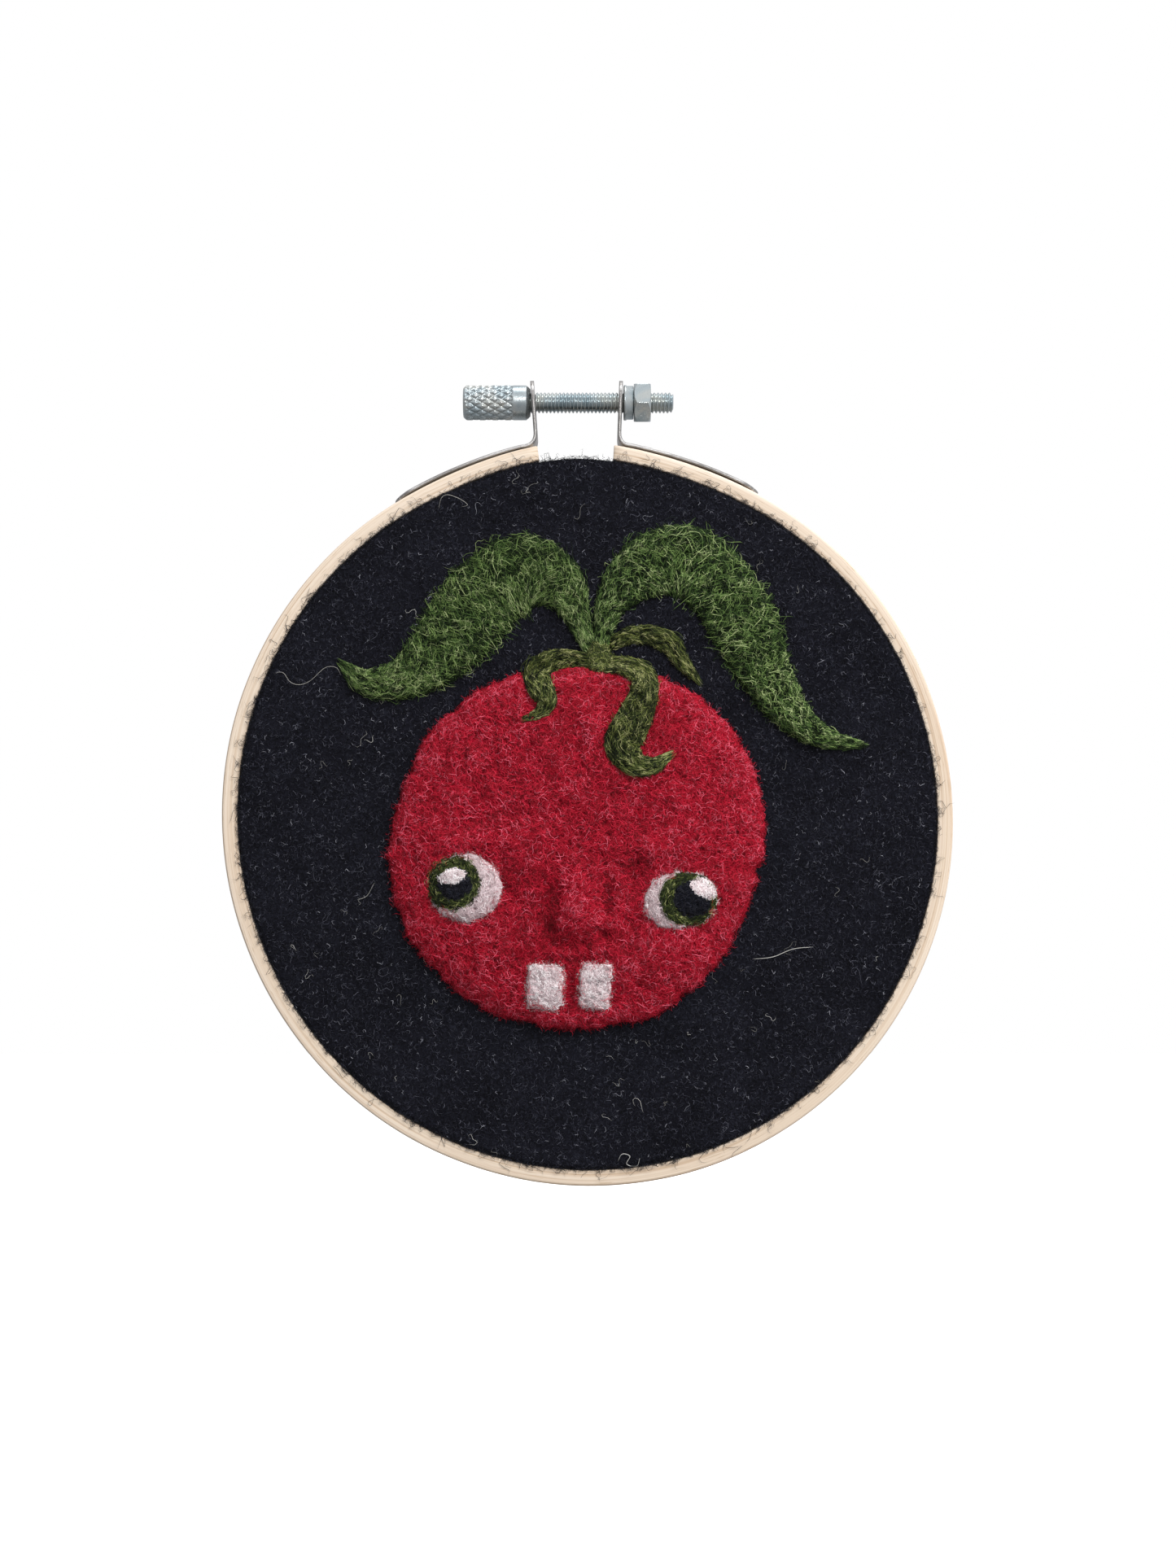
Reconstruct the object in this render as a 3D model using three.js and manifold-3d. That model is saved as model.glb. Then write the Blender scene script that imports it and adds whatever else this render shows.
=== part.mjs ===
// A needle-felted tomato face on black wool felt, held in a small wooden embroidery hoop with a screw clamp.
//
// Units are millimetres, +Z is up and the picture faces -Y. The origin is the hanging point: the underside of the
// clamp screw's shank, directly above the hoop's centre, at the middle of the outer hoop's depth.
//
// The outer hoop is one bent strip of wood that springs open when the clamp is loosened. Here it is two solids
// that meet at SPRING_ANGLE, near the bottom, where a hinge stands for the strip's flex.
import * as THREE from "three";
import { mergeVertices } from "three/addons/utils/BufferGeometryUtils.js";
import Module from "manifold-3d";

const wasm = await Module();
wasm.setup();

const DEGREE = Math.PI / 180;
const CLEARANCE = 0.25; // between pieces that touch or nest
const HOOP_SEGMENTS = 80;

// Driving dimensions of the hoops
const HOOP_RADIUS = 66.25; // outside of the outer hoop
const STRIP_THICKNESS = 2.85;
const STRIP_DEPTH = 9;
const EDGE_ROUNDING = 0.6;
const FELT_AT_RIM = 0.9; // felt squeezed between the hoops
const FELT_THICKNESS = 1.6;
const FELT_FRONT = -5; // the picture's ground plane, a little proud of the outer hoop

// Driving dimensions of the clamp
const SCREW_RADIUS = 1.9;
const SCREW_ABOVE_CENTRE = 77.1;
const EAR_LEFT_X = -10; // where each ear crosses the screw's axis
const EAR_RIGHT_X = 6.1;
const PLATE_THICKNESS = 0.7;
const PLATE_WIDTH = 8.2;

// The outer hoop's ends and the place of its flex, as angles from the top, clockwise as seen from the front
const LEFT_END_ANGLE = -7.7;
const RIGHT_END_ANGLE = 4.1;
const SPRING_ANGLE = 172;
const BULGE = 1; // how far the clamp draws both hoops out of round at the top
const FLARE = 1.4; // how much further the hoops spring out close to the gap
const FLARE_AT = -3;
const FLARE_ANGLE = 14;
const OVAL = 0.35; // how much longer and shorter than a circle's the hoops' radius is
const OVAL_ANGLE = 150; // the lower end of the oval's long axis

const SCREW_AXIS_Z = SCREW_RADIUS;
const HOOP_CENTRE_Z = SCREW_AXIS_Z - SCREW_ABOVE_CENTRE;
const OUTER_HOOP_BORE = HOOP_RADIUS - STRIP_THICKNESS;
const FELT_RADIUS = OUTER_HOOP_BORE - CLEARANCE;
const INNER_HOOP_RADIUS = FELT_RADIUS - FELT_AT_RIM - CLEARANCE;
const INNER_HOOP_FRONT = FELT_FRONT + FELT_THICKNESS + 0.1;

const MATERIALS = {
  wood: new THREE.MeshStandardMaterial({ color: 0xe3cdb0, roughness: 0.6 }),
  zinc: new THREE.MeshStandardMaterial({ color: 0xb9c4c6, roughness: 0.3, metalness: 1 }),
  nickel: new THREE.MeshStandardMaterial({ color: 0xa8a5a2, roughness: 0.4, metalness: 1 }),
  blackFelt: new THREE.MeshStandardMaterial({ color: 0x14151b, roughness: 1 }),
  redWool: new THREE.MeshStandardMaterial({ color: 0x9e1628, roughness: 1 }),
  leafWool: new THREE.MeshStandardMaterial({ color: 0x35552a, roughness: 1 }),
  oliveWool: new THREE.MeshStandardMaterial({ color: 0x46532a, roughness: 1 }),
  whiteWool: new THREE.MeshStandardMaterial({ color: 0xddd3d0, roughness: 1 }),
  blackWool: new THREE.MeshStandardMaterial({ color: 0x121319, roughness: 1 }),
};

// ---------------------------------------------------------------- solids and outlines

/** A closed geometry as a solid that can be joined and cut. */
function toSolid(geometry) {
  const bare = geometry.clone();
  bare.deleteAttribute("normal");
  bare.deleteAttribute("uv");
  const merged = mergeVertices(bare, 1e-4);
  const vertProperties = merged.attributes.position.array;
  const triVerts = new Uint32Array(merged.index.array);
  return new wasm.Manifold(new wasm.Mesh({ numProp: 3, vertProperties, triVerts }));
}

/** A solid as a geometry again. */
function toGeometry(solid) {
  const mesh = solid.getMesh();
  const geometry = new THREE.BufferGeometry();
  geometry.setAttribute("position", new THREE.BufferAttribute(mesh.vertProperties, 3));
  geometry.setIndex(new THREE.BufferAttribute(mesh.triVerts, 1));
  geometry.computeVertexNormals();
  return geometry;
}

/** How far the hoops stand outside a circle, at a clockwise angle in degrees from the top. */
function bulgeAt(angle) {
  const fromTop = ((angle + 540) % 360) - 180;
  const drawnOut = BULGE * Math.cos((angle / 2) * DEGREE) ** 4;
  const flared = FLARE * Math.exp(-(((fromTop - FLARE_AT) / FLARE_ANGLE) ** 2));
  return drawnOut + flared + OVAL * Math.cos(2 * (angle - OVAL_ANGLE) * DEGREE);
}

/** A point of the hoop's plane at a radius and a clockwise angle from the top, on the bulging circle. */
function onHoop(radius, angle) {
  const reach = radius + bulgeAt(angle);
  return new THREE.Vector2(reach * Math.sin(angle * DEGREE), reach * Math.cos(angle * DEGREE));
}

/** A turned ring or disc drawn out of round as the hoops are. Its inside follows in proportion. */
function bulged(geometry) {
  const position = geometry.attributes.position;
  for (let i = 0; i < position.count; i++) {
    const [x, z] = [position.getX(i), position.getZ(i)];
    const scale = 1 + bulgeAt(Math.atan2(x, z) / DEGREE) / HOOP_RADIUS;
    position.setX(i, x * scale);
    position.setZ(i, z * scale);
  }
  return geometry;
}

/** An outline in the hoop's plane pushed out from y = back towards the front, with its edges rounded by bevel. */
function pushForward(shape, back, depth, bevel = 0) {
  const geometry = new THREE.ExtrudeGeometry(shape, {
    depth: depth - 2 * bevel,
    curveSegments: 24,
    bevelEnabled: bevel > 0,
    bevelThickness: bevel,
    bevelSize: bevel,
    bevelOffset: -bevel,
    bevelSegments: 2,
  });
  return geometry.rotateX(Math.PI / 2).translate(0, back - bevel, 0);
}

/** The outline of a ribbon that runs through points, with halfWidths[i] to each side of point i. */
function ribbon(points, halfWidths) {
  const left = [];
  const right = [];
  points.forEach((point, i) => {
    const before = points[Math.max(i - 1, 0)];
    const after = points[Math.min(i + 1, points.length - 1)];
    const along = after.clone().sub(before).normalize();
    const side = new THREE.Vector2(-along.y, along.x).multiplyScalar(halfWidths[i]);
    left.push(point.clone().add(side));
    right.unshift(point.clone().sub(side));
  });
  const outline = [...left, ...right];
  return new THREE.Shape(THREE.ShapeUtils.area(outline) < 0 ? outline.reverse() : outline);
}

/** A turned piece whose profile is [radius, place along the axis] pairs; its axis is Y. */
function turned(profile, segments) {
  return new THREE.LatheGeometry(profile.map(([radius, y]) => new THREE.Vector2(radius, y)), segments);
}

/** A turned piece with its axis along X. */
function turnedAlongX(profile, segments = 32) {
  return turned(profile, segments).rotateZ(-Math.PI / 2);
}

function ellipsoid([x, y, z], [radiusX, radiusY, radiusZ], grow = 0) {
  const geometry = new THREE.SphereGeometry(1, 16, 10);
  geometry.scale(radiusX + grow, radiusY + grow, radiusZ + grow);
  return geometry.translate(x, y, z);
}

function makeMesh(name, geometry, material) {
  const mesh = new THREE.Mesh(geometry, material);
  mesh.name = name;
  return mesh;
}

// ---------------------------------------------------------------- the hoops

/** One stretch of the outer hoop's strip, from one angle to another. */
function outerHoopStretch(fromAngle, toAngle) {
  const steps = Math.round((toAngle - fromAngle) / 4);
  const points = [];
  for (let i = 0; i <= steps; i++) {
    const angle = fromAngle + ((toAngle - fromAngle) * i) / steps;
    points.push(onHoop(HOOP_RADIUS - STRIP_THICKNESS / 2, angle));
  }
  const shape = ribbon(points, points.map(() => STRIP_THICKNESS / 2));
  return toSolid(pushForward(shape, STRIP_DEPTH / 2, STRIP_DEPTH, EDGE_ROUNDING));
}

function innerHoop() {
  const bore = INNER_HOOP_RADIUS - STRIP_THICKNESS;
  const back = INNER_HOOP_FRONT + STRIP_DEPTH;
  const round = EDGE_ROUNDING;
  const profile = [
    [bore + round, INNER_HOOP_FRONT],
    [INNER_HOOP_RADIUS - round, INNER_HOOP_FRONT],
    [INNER_HOOP_RADIUS, INNER_HOOP_FRONT + round],
    [INNER_HOOP_RADIUS, back - round],
    [INNER_HOOP_RADIUS - round, back],
    [bore + round, back],
    [bore, back - round],
    [bore, INNER_HOOP_FRONT + round],
    [bore + round, INNER_HOOP_FRONT],
  ];
  return bulged(turned(profile, HOOP_SEGMENTS));
}

/** The felt ground: a stretched disc whose margin runs back between the hoops and is trimmed near their backs. */
function groundFelt() {
  const insideSkirt = FELT_RADIUS - FELT_AT_RIM;
  const trimmedAt = INNER_HOOP_FRONT + STRIP_DEPTH - 1.2;
  const shoulder = 0.8;
  const profile = [
    [0, FELT_FRONT],
    [FELT_RADIUS - shoulder, FELT_FRONT],
    [FELT_RADIUS - shoulder / 3, FELT_FRONT + shoulder / 3],
    [FELT_RADIUS, FELT_FRONT + shoulder],
    [FELT_RADIUS, trimmedAt],
    [insideSkirt, trimmedAt],
    [insideSkirt, FELT_FRONT + FELT_THICKNESS],
    [0, FELT_FRONT + FELT_THICKNESS],
  ];
  return bulged(turned(profile, HOOP_SEGMENTS));
}

// ---------------------------------------------------------------- the clamp

const STRAP_FROM = 2.4; // where each strap starts, in degrees round from its end of the hoop
const STRAP_ANGLE = 21.2; // how far it runs round the hoop from there
const STRAP_STEPS = 6;
const EAR_FOOT = -6.4; // the straight ear's lower end and its top, from the screw's axis
const EAR_TOP = 5;
const RIVET_SHANK = 0.6;

/** A bracket's plate, seen from the front: a strap round the hoop, a bend, and an ear that leans outwards. */
function bracket(side, earX, endAngle, lean) {
  const tilt = side * Math.tan(lean * DEGREE);
  const strapRadius = HOOP_RADIUS + CLEARANCE + PLATE_THICKNESS / 2;
  const earAt = (above) => new THREE.Vector2(earX + tilt * above, SCREW_ABOVE_CENTRE + above);
  const points = [];
  for (let i = STRAP_STEPS; i >= 0; i--) {
    const angle = endAngle + side * (STRAP_FROM + (STRAP_ANGLE * i) / STRAP_STEPS);
    points.push(onHoop(strapRadius, angle));
  }
  const strapEnd = points[points.length - 1];
  const earFoot = earAt(EAR_FOOT);
  const corner = new THREE.Vector2(earFoot.x, strapEnd.y + 0.1);
  const bend = new THREE.QuadraticBezierCurve(strapEnd, corner, earFoot);
  points.push(...bend.getPoints(6).slice(1), earAt(EAR_TOP));
  const plate = ribbon(points, points.map(() => PLATE_THICKNESS / 2));
  const blank = toSolid(pushForward(plate, PLATE_WIDTH / 2, PLATE_WIDTH));

  // The ear's round top and the strap's round end are masks seen along X and from above.
  const earMask = new THREE.Shape();
  earMask.absarc(0, SCREW_ABOVE_CENTRE, PLATE_WIDTH / 2, 0, Math.PI);
  earMask.lineTo(-PLATE_WIDTH / 2, 60);
  earMask.lineTo(PLATE_WIDTH / 2, 60);
  const ear = new THREE.ExtrudeGeometry(earMask, { depth: 60, bevelEnabled: false, curveSegments: 20 });
  ear.applyMatrix4(new THREE.Matrix4().makeBasis(
    new THREE.Vector3(0, 1, 0),
    new THREE.Vector3(0, 0, 1),
    new THREE.Vector3(1, 0, 0),
  ));
  ear.translate(-30, 0, 0);
  const strapTip = points[0];
  const roundEnd = new THREE.CylinderGeometry(PLATE_WIDTH / 2, PLATE_WIDTH / 2, 40, 24);
  roundEnd.rotateX(Math.PI / 2).translate(strapTip.x - side * (PLATE_WIDTH / 2), 0, 60);
  const inboard = new THREE.BoxGeometry(60, PLATE_WIDTH, 60);
  inboard.translate(strapTip.x - side * (PLATE_WIDTH / 2 + 30), 0, 60);
  const strapMask = toSolid(roundEnd).add(toSolid(inboard));
  const hole = new THREE.CylinderGeometry(SCREW_RADIUS + 0.35, SCREW_RADIUS + 0.35, 6, 24);
  hole.rotateZ(Math.PI / 2).translate(earX, 0, SCREW_ABOVE_CENTRE);
  return blank.intersect(toSolid(ear)).intersect(strapMask).subtract(toSolid(hole));
}

/** Where each bracket is riveted, as angles from its end of the hoop. */
const RIVET_PLACES = [8.5, 17.5];

/** A rivet through strap and hoop, turned to its place; grow widens it to cut its own hole. */
function rivet(side, endAngle, place, grow = 0) {
  const angle = endAngle + side * place;
  const inside = OUTER_HOOP_BORE + bulgeAt(angle) + 0.1 - 4 * grow;
  const strapTop = inside + STRIP_THICKNESS + CLEARANCE + PLATE_THICKNESS + 4 * grow;
  const shank = RIVET_SHANK + grow;
  const head = 1.2;
  const headHeight = 0.5;
  const profile = [
    [0, inside],
    [shank, inside],
    [shank, strapTop + 0.15],
    [head, strapTop + 0.15],
    [head * 0.8, strapTop + 0.15 + headHeight * 0.7],
    [0, strapTop + 0.15 + headHeight],
  ];
  const geometry = turned(profile, 16).rotateX(Math.PI / 2);
  return toSolid(geometry.rotateY(angle * DEGREE));
}

/** The thumb screw: a cylindrical grip, a shoulder that bears on the left ear, and a threaded shank. */
function clampScrew() {
  const headEnd = -23;
  const headRadius = 3.2;
  const shoulderX = EAR_LEFT_X - 0.65;
  const tip = 15.9;
  const chamfer = 0.5;
  return turnedAlongX([
    [0, headEnd],
    [headRadius - chamfer, headEnd],
    [headRadius, headEnd + chamfer],
    [headRadius, shoulderX - 1],
    [2.45, shoulderX],
    [SCREW_RADIUS, shoulderX],
    [SCREW_RADIUS, tip - chamfer],
    [SCREW_RADIUS - chamfer, tip],
    [0, tip],
  ]);
}

const BORE_RADIUS = SCREW_RADIUS + 0.35;
const COLLAR_FROM = EAR_RIGHT_X + PLATE_THICKNESS / 2 + CLEARANCE;
const COLLAR_LENGTH = 1.8;
const NUT_FROM = COLLAR_FROM + COLLAR_LENGTH + 0.1;
const NUT_LENGTH = 3.1;
const NUT_ACROSS_FLATS = 7;
const NUT_TURN = 13; // how far the nut's front edge points below straight ahead, in degrees

function nutCollar() {
  return turnedAlongX([
    [BORE_RADIUS, COLLAR_FROM],
    [3.25, COLLAR_FROM],
    [3.25, COLLAR_FROM + COLLAR_LENGTH],
    [BORE_RADIUS, COLLAR_FROM + COLLAR_LENGTH],
    [BORE_RADIUS, COLLAR_FROM],
  ]);
}

/** A hexagon cut by a turned blank that bevels its corners. An edge of it points to the front and a little down. */
function hexNut() {
  const corner = NUT_ACROSS_FLATS / Math.sqrt(3);
  const middle = NUT_FROM + NUT_LENGTH / 2;
  const hexagon = new THREE.CylinderGeometry(corner, corner, NUT_LENGTH, 6);
  hexagon.rotateZ(-Math.PI / 2).rotateX(Math.PI / 2 + NUT_TURN * DEGREE).translate(middle, 0, 0);
  const bevel = 0.45;
  const blank = turnedAlongX([
    [BORE_RADIUS, NUT_FROM - 1],
    [corner - bevel, NUT_FROM],
    [corner, NUT_FROM + bevel],
    [corner, NUT_FROM + NUT_LENGTH - bevel],
    [corner - bevel, NUT_FROM + NUT_LENGTH],
    [BORE_RADIUS, NUT_FROM + NUT_LENGTH + 1],
    [BORE_RADIUS, NUT_FROM - 1],
  ], 36);
  return toGeometry(toSolid(hexagon).intersect(toSolid(blank)));
}

// ---------------------------------------------------------------- the felted picture
// Places are [x, z] from the hoop's centre, and heights are measured forwards from the felt ground.

const TOMATO_CENTRE = [-1.7, -5.2];
const TOMATO_HEIGHT = 6.5;
const TOMATO_ROUNDNESS = 2.6; // exponent of the relief's rounded-off section
// The outline's radius every 30 degrees, from +X round through +Z
const TOMATO_RADII = [33.5, 34.3, 33, 32, 32.7, 33.7, 33.5, 34, 32.2, 32.3, 33.2, 31.3];

/** The tomato outline's radius at an angle in radians, interpolated smoothly round the closed outline. */
function tomatoRadius(angle) {
  const count = TOMATO_RADII.length;
  const place = ((angle / (2 * Math.PI)) * count + count) % count;
  const i = Math.floor(place);
  const t = place - i;
  const [a, b, c, d] = [-1, 0, 1, 2].map((k) => TOMATO_RADII[(i + k + count) % count]);
  return b + 0.5 * t * (c - a + t * (2 * a - 5 * b + 4 * c - d + t * (3 * (b - c) + d - a)));
}

/** The tomato's relief: a dome with the tomato's outline and a flat back. grow makes a larger one around it. */
function tomatoDome(grow = 0) {
  // A unit sphere half turned about X, so that its top faces the front, then reshaped and its back half flattened
  const geometry = new THREE.SphereGeometry(1, 40, 12).rotateX(Math.PI);
  const position = geometry.attributes.position;
  const [centreX, centreZ] = TOMATO_CENTRE;
  for (let i = 0; i < position.count; i++) {
    const [x, y, z] = [position.getX(i), position.getY(i), position.getZ(i)];
    const angle = Math.atan2(z, x);
    const spread = Math.min(1, Math.hypot(x, z)) ** (2 / TOMATO_ROUNDNESS);
    const radius = spread * (tomatoRadius(angle) + grow);
    const height = Math.max(0, -y) ** (2 / TOMATO_ROUNDNESS) * (TOMATO_HEIGHT + grow);
    position.setXYZ(i, centreX + radius * Math.cos(angle), -height, centreZ + radius * Math.sin(angle));
  }
  return toSolid(geometry.translate(0, FELT_FRONT, 0));
}

/** A leaf's outline from its middle line: [x, z, half width] at each place along it. */
function leafShape(middleLine, grow = 0) {
  const curve = new THREE.CatmullRomCurve3(middleLine.map((place) => new THREE.Vector3(...place)));
  const places = curve.getPoints(5 * (middleLine.length - 1));
  const points = places.map((place) => new THREE.Vector2(place.x, place.y));
  return ribbon(points, places.map((place) => place.z + grow));
}

const LEAF_THICKNESS = 2.4;
const SEPAL_THICKNESS = 1.8;

/** A leaf that lies on the felt ground. */
function leafOnGround(middleLine, grow = 0) {
  return toSolid(pushForward(leafShape(middleLine, grow), FELT_FRONT, LEAF_THICKNESS + grow));
}

const LEFT_LEAF = [
  [-1.6, 34.1, 1.7], [-3, 37.7, 2.8], [-6.2, 42.8, 5], [-11.3, 44.6, 6.7], [-17.4, 41.4, 6.9],
  [-22.3, 35.5, 7], [-27.2, 29.5, 5.6], [-33.9, 24.7, 3.6], [-40.1, 24.3, 2.3], [-44.5, 27.6, 0.7],
];
const RIGHT_LEAF = [
  [3, 34.1, 1.6], [4, 37.7, 2.7], [7.8, 42.8, 4.6], [13.1, 46, 6], [18.9, 46, 6.5], [24.5, 41.4, 6.2],
  [29.1, 33.6, 6], [32.5, 25.6, 4.6], [37.3, 18.3, 3.1], [43.1, 14.2, 1.8], [49.6, 12.6, 0.6],
];
const SMALL_LEAF = [
  [8.3, 33, 1.5], [11.4, 33.1, 1.6], [15, 31.7, 1.8], [16.7, 28.8, 1.4], [19.6, 25.3, 0.6],
];
const LEFT_SEPAL = [
  [-4.2, 29.3, 1.5], [-6.6, 28.9, 1.7], [-9, 26.7, 2.1], [-8.4, 23.7, 1.9], [-7, 20.8, 1.6], [-8.5, 18.2, 1],
  [-11.1, 17.2, 0.6],
];
const RIGHT_SEPAL = [
  [8.2, 27.3, 1.9], [10, 25.7, 2.2], [10.2, 22.5, 2.4], [8.3, 17.5, 2.7], [6.2, 12.7, 2.9], [8, 9.3, 2.1],
  [11.5, 8.7, 1.4], [15, 10.8, 0.6],
];

/** A sepal draped on the tomato: the outline's column between two domes, and a low slab past the tomato. */
function sepalOnTomato(middleLine, grow = 0) {
  const column = toSolid(pushForward(leafShape(middleLine, grow), FELT_FRONT, 20));
  const slab = new THREE.BoxGeometry(80, LEAF_THICKNESS, 80);
  slab.translate(0, FELT_FRONT - LEAF_THICKNESS / 2, 0);
  const reach = tomatoDome(CLEARANCE + SEPAL_THICKNESS + grow).add(toSolid(slab));
  return column.intersect(reach).subtract(tomatoDome(CLEARANCE));
}

/** The knot of wool where the leaves and sepals meet, cut clear of them and of the tomato. */
function calyxCrown() {
  const outline = [
    [-3, 30.5], [-1.6, 32], [0.8, 34.3], [3, 33.9], [6.6, 33.3], [7.4, 29.1], [5.6, 24.9], [2.6, 23.9], [-1, 26.3],
  ];
  const curve = new THREE.CatmullRomCurve3(outline.map(([x, z]) => new THREE.Vector3(x, z, 0)), true);
  const shape = new THREE.Shape(curve.getPoints(40).slice(0, -1).map((p) => new THREE.Vector2(p.x, p.y)));
  const slab = toSolid(pushForward(shape, FELT_FRONT, 6));
  const neighbours = [
    leafOnGround(LEFT_LEAF, CLEARANCE),
    leafOnGround(RIGHT_LEAF, CLEARANCE),
    leafOnGround(SMALL_LEAF, CLEARANCE),
    sepalOnTomato(LEFT_SEPAL, CLEARANCE),
    sepalOnTomato(RIGHT_SEPAL, CLEARANCE),
    tomatoDome(CLEARANCE),
  ];
  const reach = tomatoDome(CLEARANCE + SEPAL_THICKNESS).add(
    toSolid(new THREE.BoxGeometry(80, 3.2, 80).translate(0, FELT_FRONT - 1.6, 0)),
  );
  return neighbours.reduce((left, neighbour) => left.subtract(neighbour), slab.intersect(reach));
}

/** A point of the picture in the hoop's frame: [x, y, z] from a place and a height above the felt ground. */
function above([x, z], height) {
  return [x, FELT_FRONT - height, z];
}

const EYES = {
  left: {
    ball: { centre: [-21.9, -13.1], radii: [6.6, 3.3, 6] },
    iris: { centre: [-23.3, -12.3], radius: 4.6 },
    pupil: { centre: [-23.4, -12.5], radius: 2.9 },
    glint: { centre: [-24, -11.5], radius: 1.3 },
  },
  right: {
    ball: { centre: [16.6, -15.3], radii: [6.7, 3.3, 5.2] },
    iris: { centre: [17.8, -15.3], radius: 4.5 },
    pupil: { centre: [18.6, -15.1], radius: 3 },
    glint: { centre: [19.5, -14.5], radius: 1.3 },
  },
};
const EYE_HEIGHT = 4.2; // of the eyeballs' centres
const INLAY_HEIGHT = 6; // where the iris, pupil and glint start

/** A round column along the view, from a height above the felt ground to well in front of the picture. */
function column({ centre, radius }, fromHeight, grow = 0) {
  const geometry = new THREE.CylinderGeometry(radius + grow, radius + grow, 20, 24);
  const [x, y, z] = above(centre, fromHeight + 10);
  return toSolid(geometry.translate(x, y, z));
}

/** One eye as nested inlays: the ball, then the iris, pupil and glint, each a little prouder than the last. */
function eyePieces({ ball, iris, pupil, glint }) {
  const skin = (proud) => toSolid(ellipsoid(above(ball.centre, EYE_HEIGHT), ball.radii, proud));
  const low = INLAY_HEIGHT - CLEARANCE;
  return {
    eyeball: skin(0).subtract(column(iris, low, CLEARANCE)),
    iris: skin(0.15).intersect(column(iris, INLAY_HEIGHT)).subtract(column(pupil, low - 1, CLEARANCE)),
    pupil: skin(0.3).intersect(column(pupil, INLAY_HEIGHT)).subtract(column(glint, low - 1, CLEARANCE)),
    glint: skin(0.45).intersect(column(glint, INLAY_HEIGHT)),
  };
}

const NOSE = [
  { centre: [-1.9, -17.2], height: 6.2, radii: [4, 3, 4.6] }, // tip
  { centre: [-5.2, -19.2], height: 6, radii: [2.2, 1.9, 2.4] }, // wings
  { centre: [1.7, -19.3], height: 6, radii: [2.2, 1.9, 2.4] },
  { centre: [-2.4, -11.8], height: 6, radii: [2.2, 1.8, 6] }, // bridge
];

function nose(grow = 0) {
  const lumps = NOSE.map((lump) => toSolid(ellipsoid(above(lump.centre, lump.height), lump.radii, grow)));
  return lumps.reduce((joined, lump) => joined.add(lump));
}

const TOOTH_SIZE = [6, 8];
const TEETH = { left: [-7.6, -30.7], right: [1.4, -30.6] };
const TOOTH_HEIGHTS = [2.6, 5.6];

function tooth([x, z], grow = 0) {
  const [width, height] = TOOTH_SIZE.map((size) => size / 2 + grow);
  const shape = new THREE.Shape();
  shape.moveTo(x - width, z - height);
  shape.lineTo(x + width, z - height);
  shape.lineTo(x + width, z + height);
  shape.lineTo(x - width, z + height);
  const [low, high] = TOOTH_HEIGHTS;
  const back = FELT_FRONT - low + grow;
  return toSolid(pushForward(shape, back, high - low + (grow > 0 ? 6 : 0), grow > 0 ? 0 : 0.6));
}

function tomatoBody() {
  const pockets = [
    ...Object.values(EYES).map(({ ball }) =>
      toSolid(ellipsoid(above(ball.centre, EYE_HEIGHT), ball.radii, CLEARANCE)),
    ),
    ...Object.values(TEETH).map((place) => tooth(place, CLEARANCE)),
    nose(CLEARANCE),
  ];
  return pockets.reduce((left, pocket) => left.subtract(pocket), tomatoDome());
}

// ---------------------------------------------------------------- the assembly

const part = new THREE.Group();

const hoop = new THREE.Group();
hoop.position.z = HOOP_CENTRE_Z;
part.add(hoop);

const seam = 0.13; // degrees to each side of the split that stands for the strip's flex
const stretches = {
  left: outerHoopStretch(SPRING_ANGLE + seam, 360 + LEFT_END_ANGLE),
  right: outerHoopStretch(RIGHT_END_ANGLE, SPRING_ANGLE - seam),
};
const sides = {
  left: { side: -1, endAngle: LEFT_END_ANGLE, earX: EAR_LEFT_X, lean: 4 },
  right: { side: 1, endAngle: RIGHT_END_ANGLE, earX: EAR_RIGHT_X, lean: 2 },
};
for (const [name, { side, endAngle, earX, lean }] of Object.entries(sides)) {
  let strip = stretches[name];
  let plate = bracket(side, earX, endAngle, lean);
  RIVET_PLACES.forEach((place, i) => {
    const hole = rivet(side, endAngle, place, 0.15);
    strip = strip.subtract(hole);
    plate = plate.subtract(hole);
    hoop.add(makeMesh(`rivet_${name}_${i + 1}`, toGeometry(rivet(side, endAngle, place)), MATERIALS.nickel));
  });
  hoop.add(makeMesh(`outer_hoop_${name}`, toGeometry(strip), MATERIALS.wood));
  hoop.add(makeMesh(`bracket_${name}`, toGeometry(plate), MATERIALS.nickel));
}

const clamp = new THREE.Group();
clamp.position.z = SCREW_AXIS_Z;
clamp.add(makeMesh("clamp_screw", clampScrew(), MATERIALS.zinc));
clamp.add(makeMesh("nut_collar", nutCollar(), MATERIALS.zinc));
clamp.add(makeMesh("hex_nut", hexNut(), MATERIALS.zinc));
part.add(clamp);

const picture = new THREE.Group();
picture.position.z = HOOP_CENTRE_Z;
picture.add(makeMesh("inner_hoop", innerHoop(), MATERIALS.wood));
picture.add(makeMesh("ground_felt", groundFelt(), MATERIALS.blackFelt));
picture.add(makeMesh("tomato_body", toGeometry(tomatoBody()), MATERIALS.redWool));
picture.add(makeMesh("nose", toGeometry(nose()), MATERIALS.redWool));
picture.add(makeMesh("leaf_left", toGeometry(leafOnGround(LEFT_LEAF)), MATERIALS.leafWool));
picture.add(makeMesh("leaf_right", toGeometry(leafOnGround(RIGHT_LEAF)), MATERIALS.leafWool));
picture.add(makeMesh("leaf_small", toGeometry(leafOnGround(SMALL_LEAF)), MATERIALS.leafWool));
picture.add(makeMesh("sepal_left", toGeometry(sepalOnTomato(LEFT_SEPAL)), MATERIALS.oliveWool));
picture.add(makeMesh("sepal_right", toGeometry(sepalOnTomato(RIGHT_SEPAL)), MATERIALS.oliveWool));
picture.add(makeMesh("calyx_crown", toGeometry(calyxCrown()), MATERIALS.oliveWool));
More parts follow.
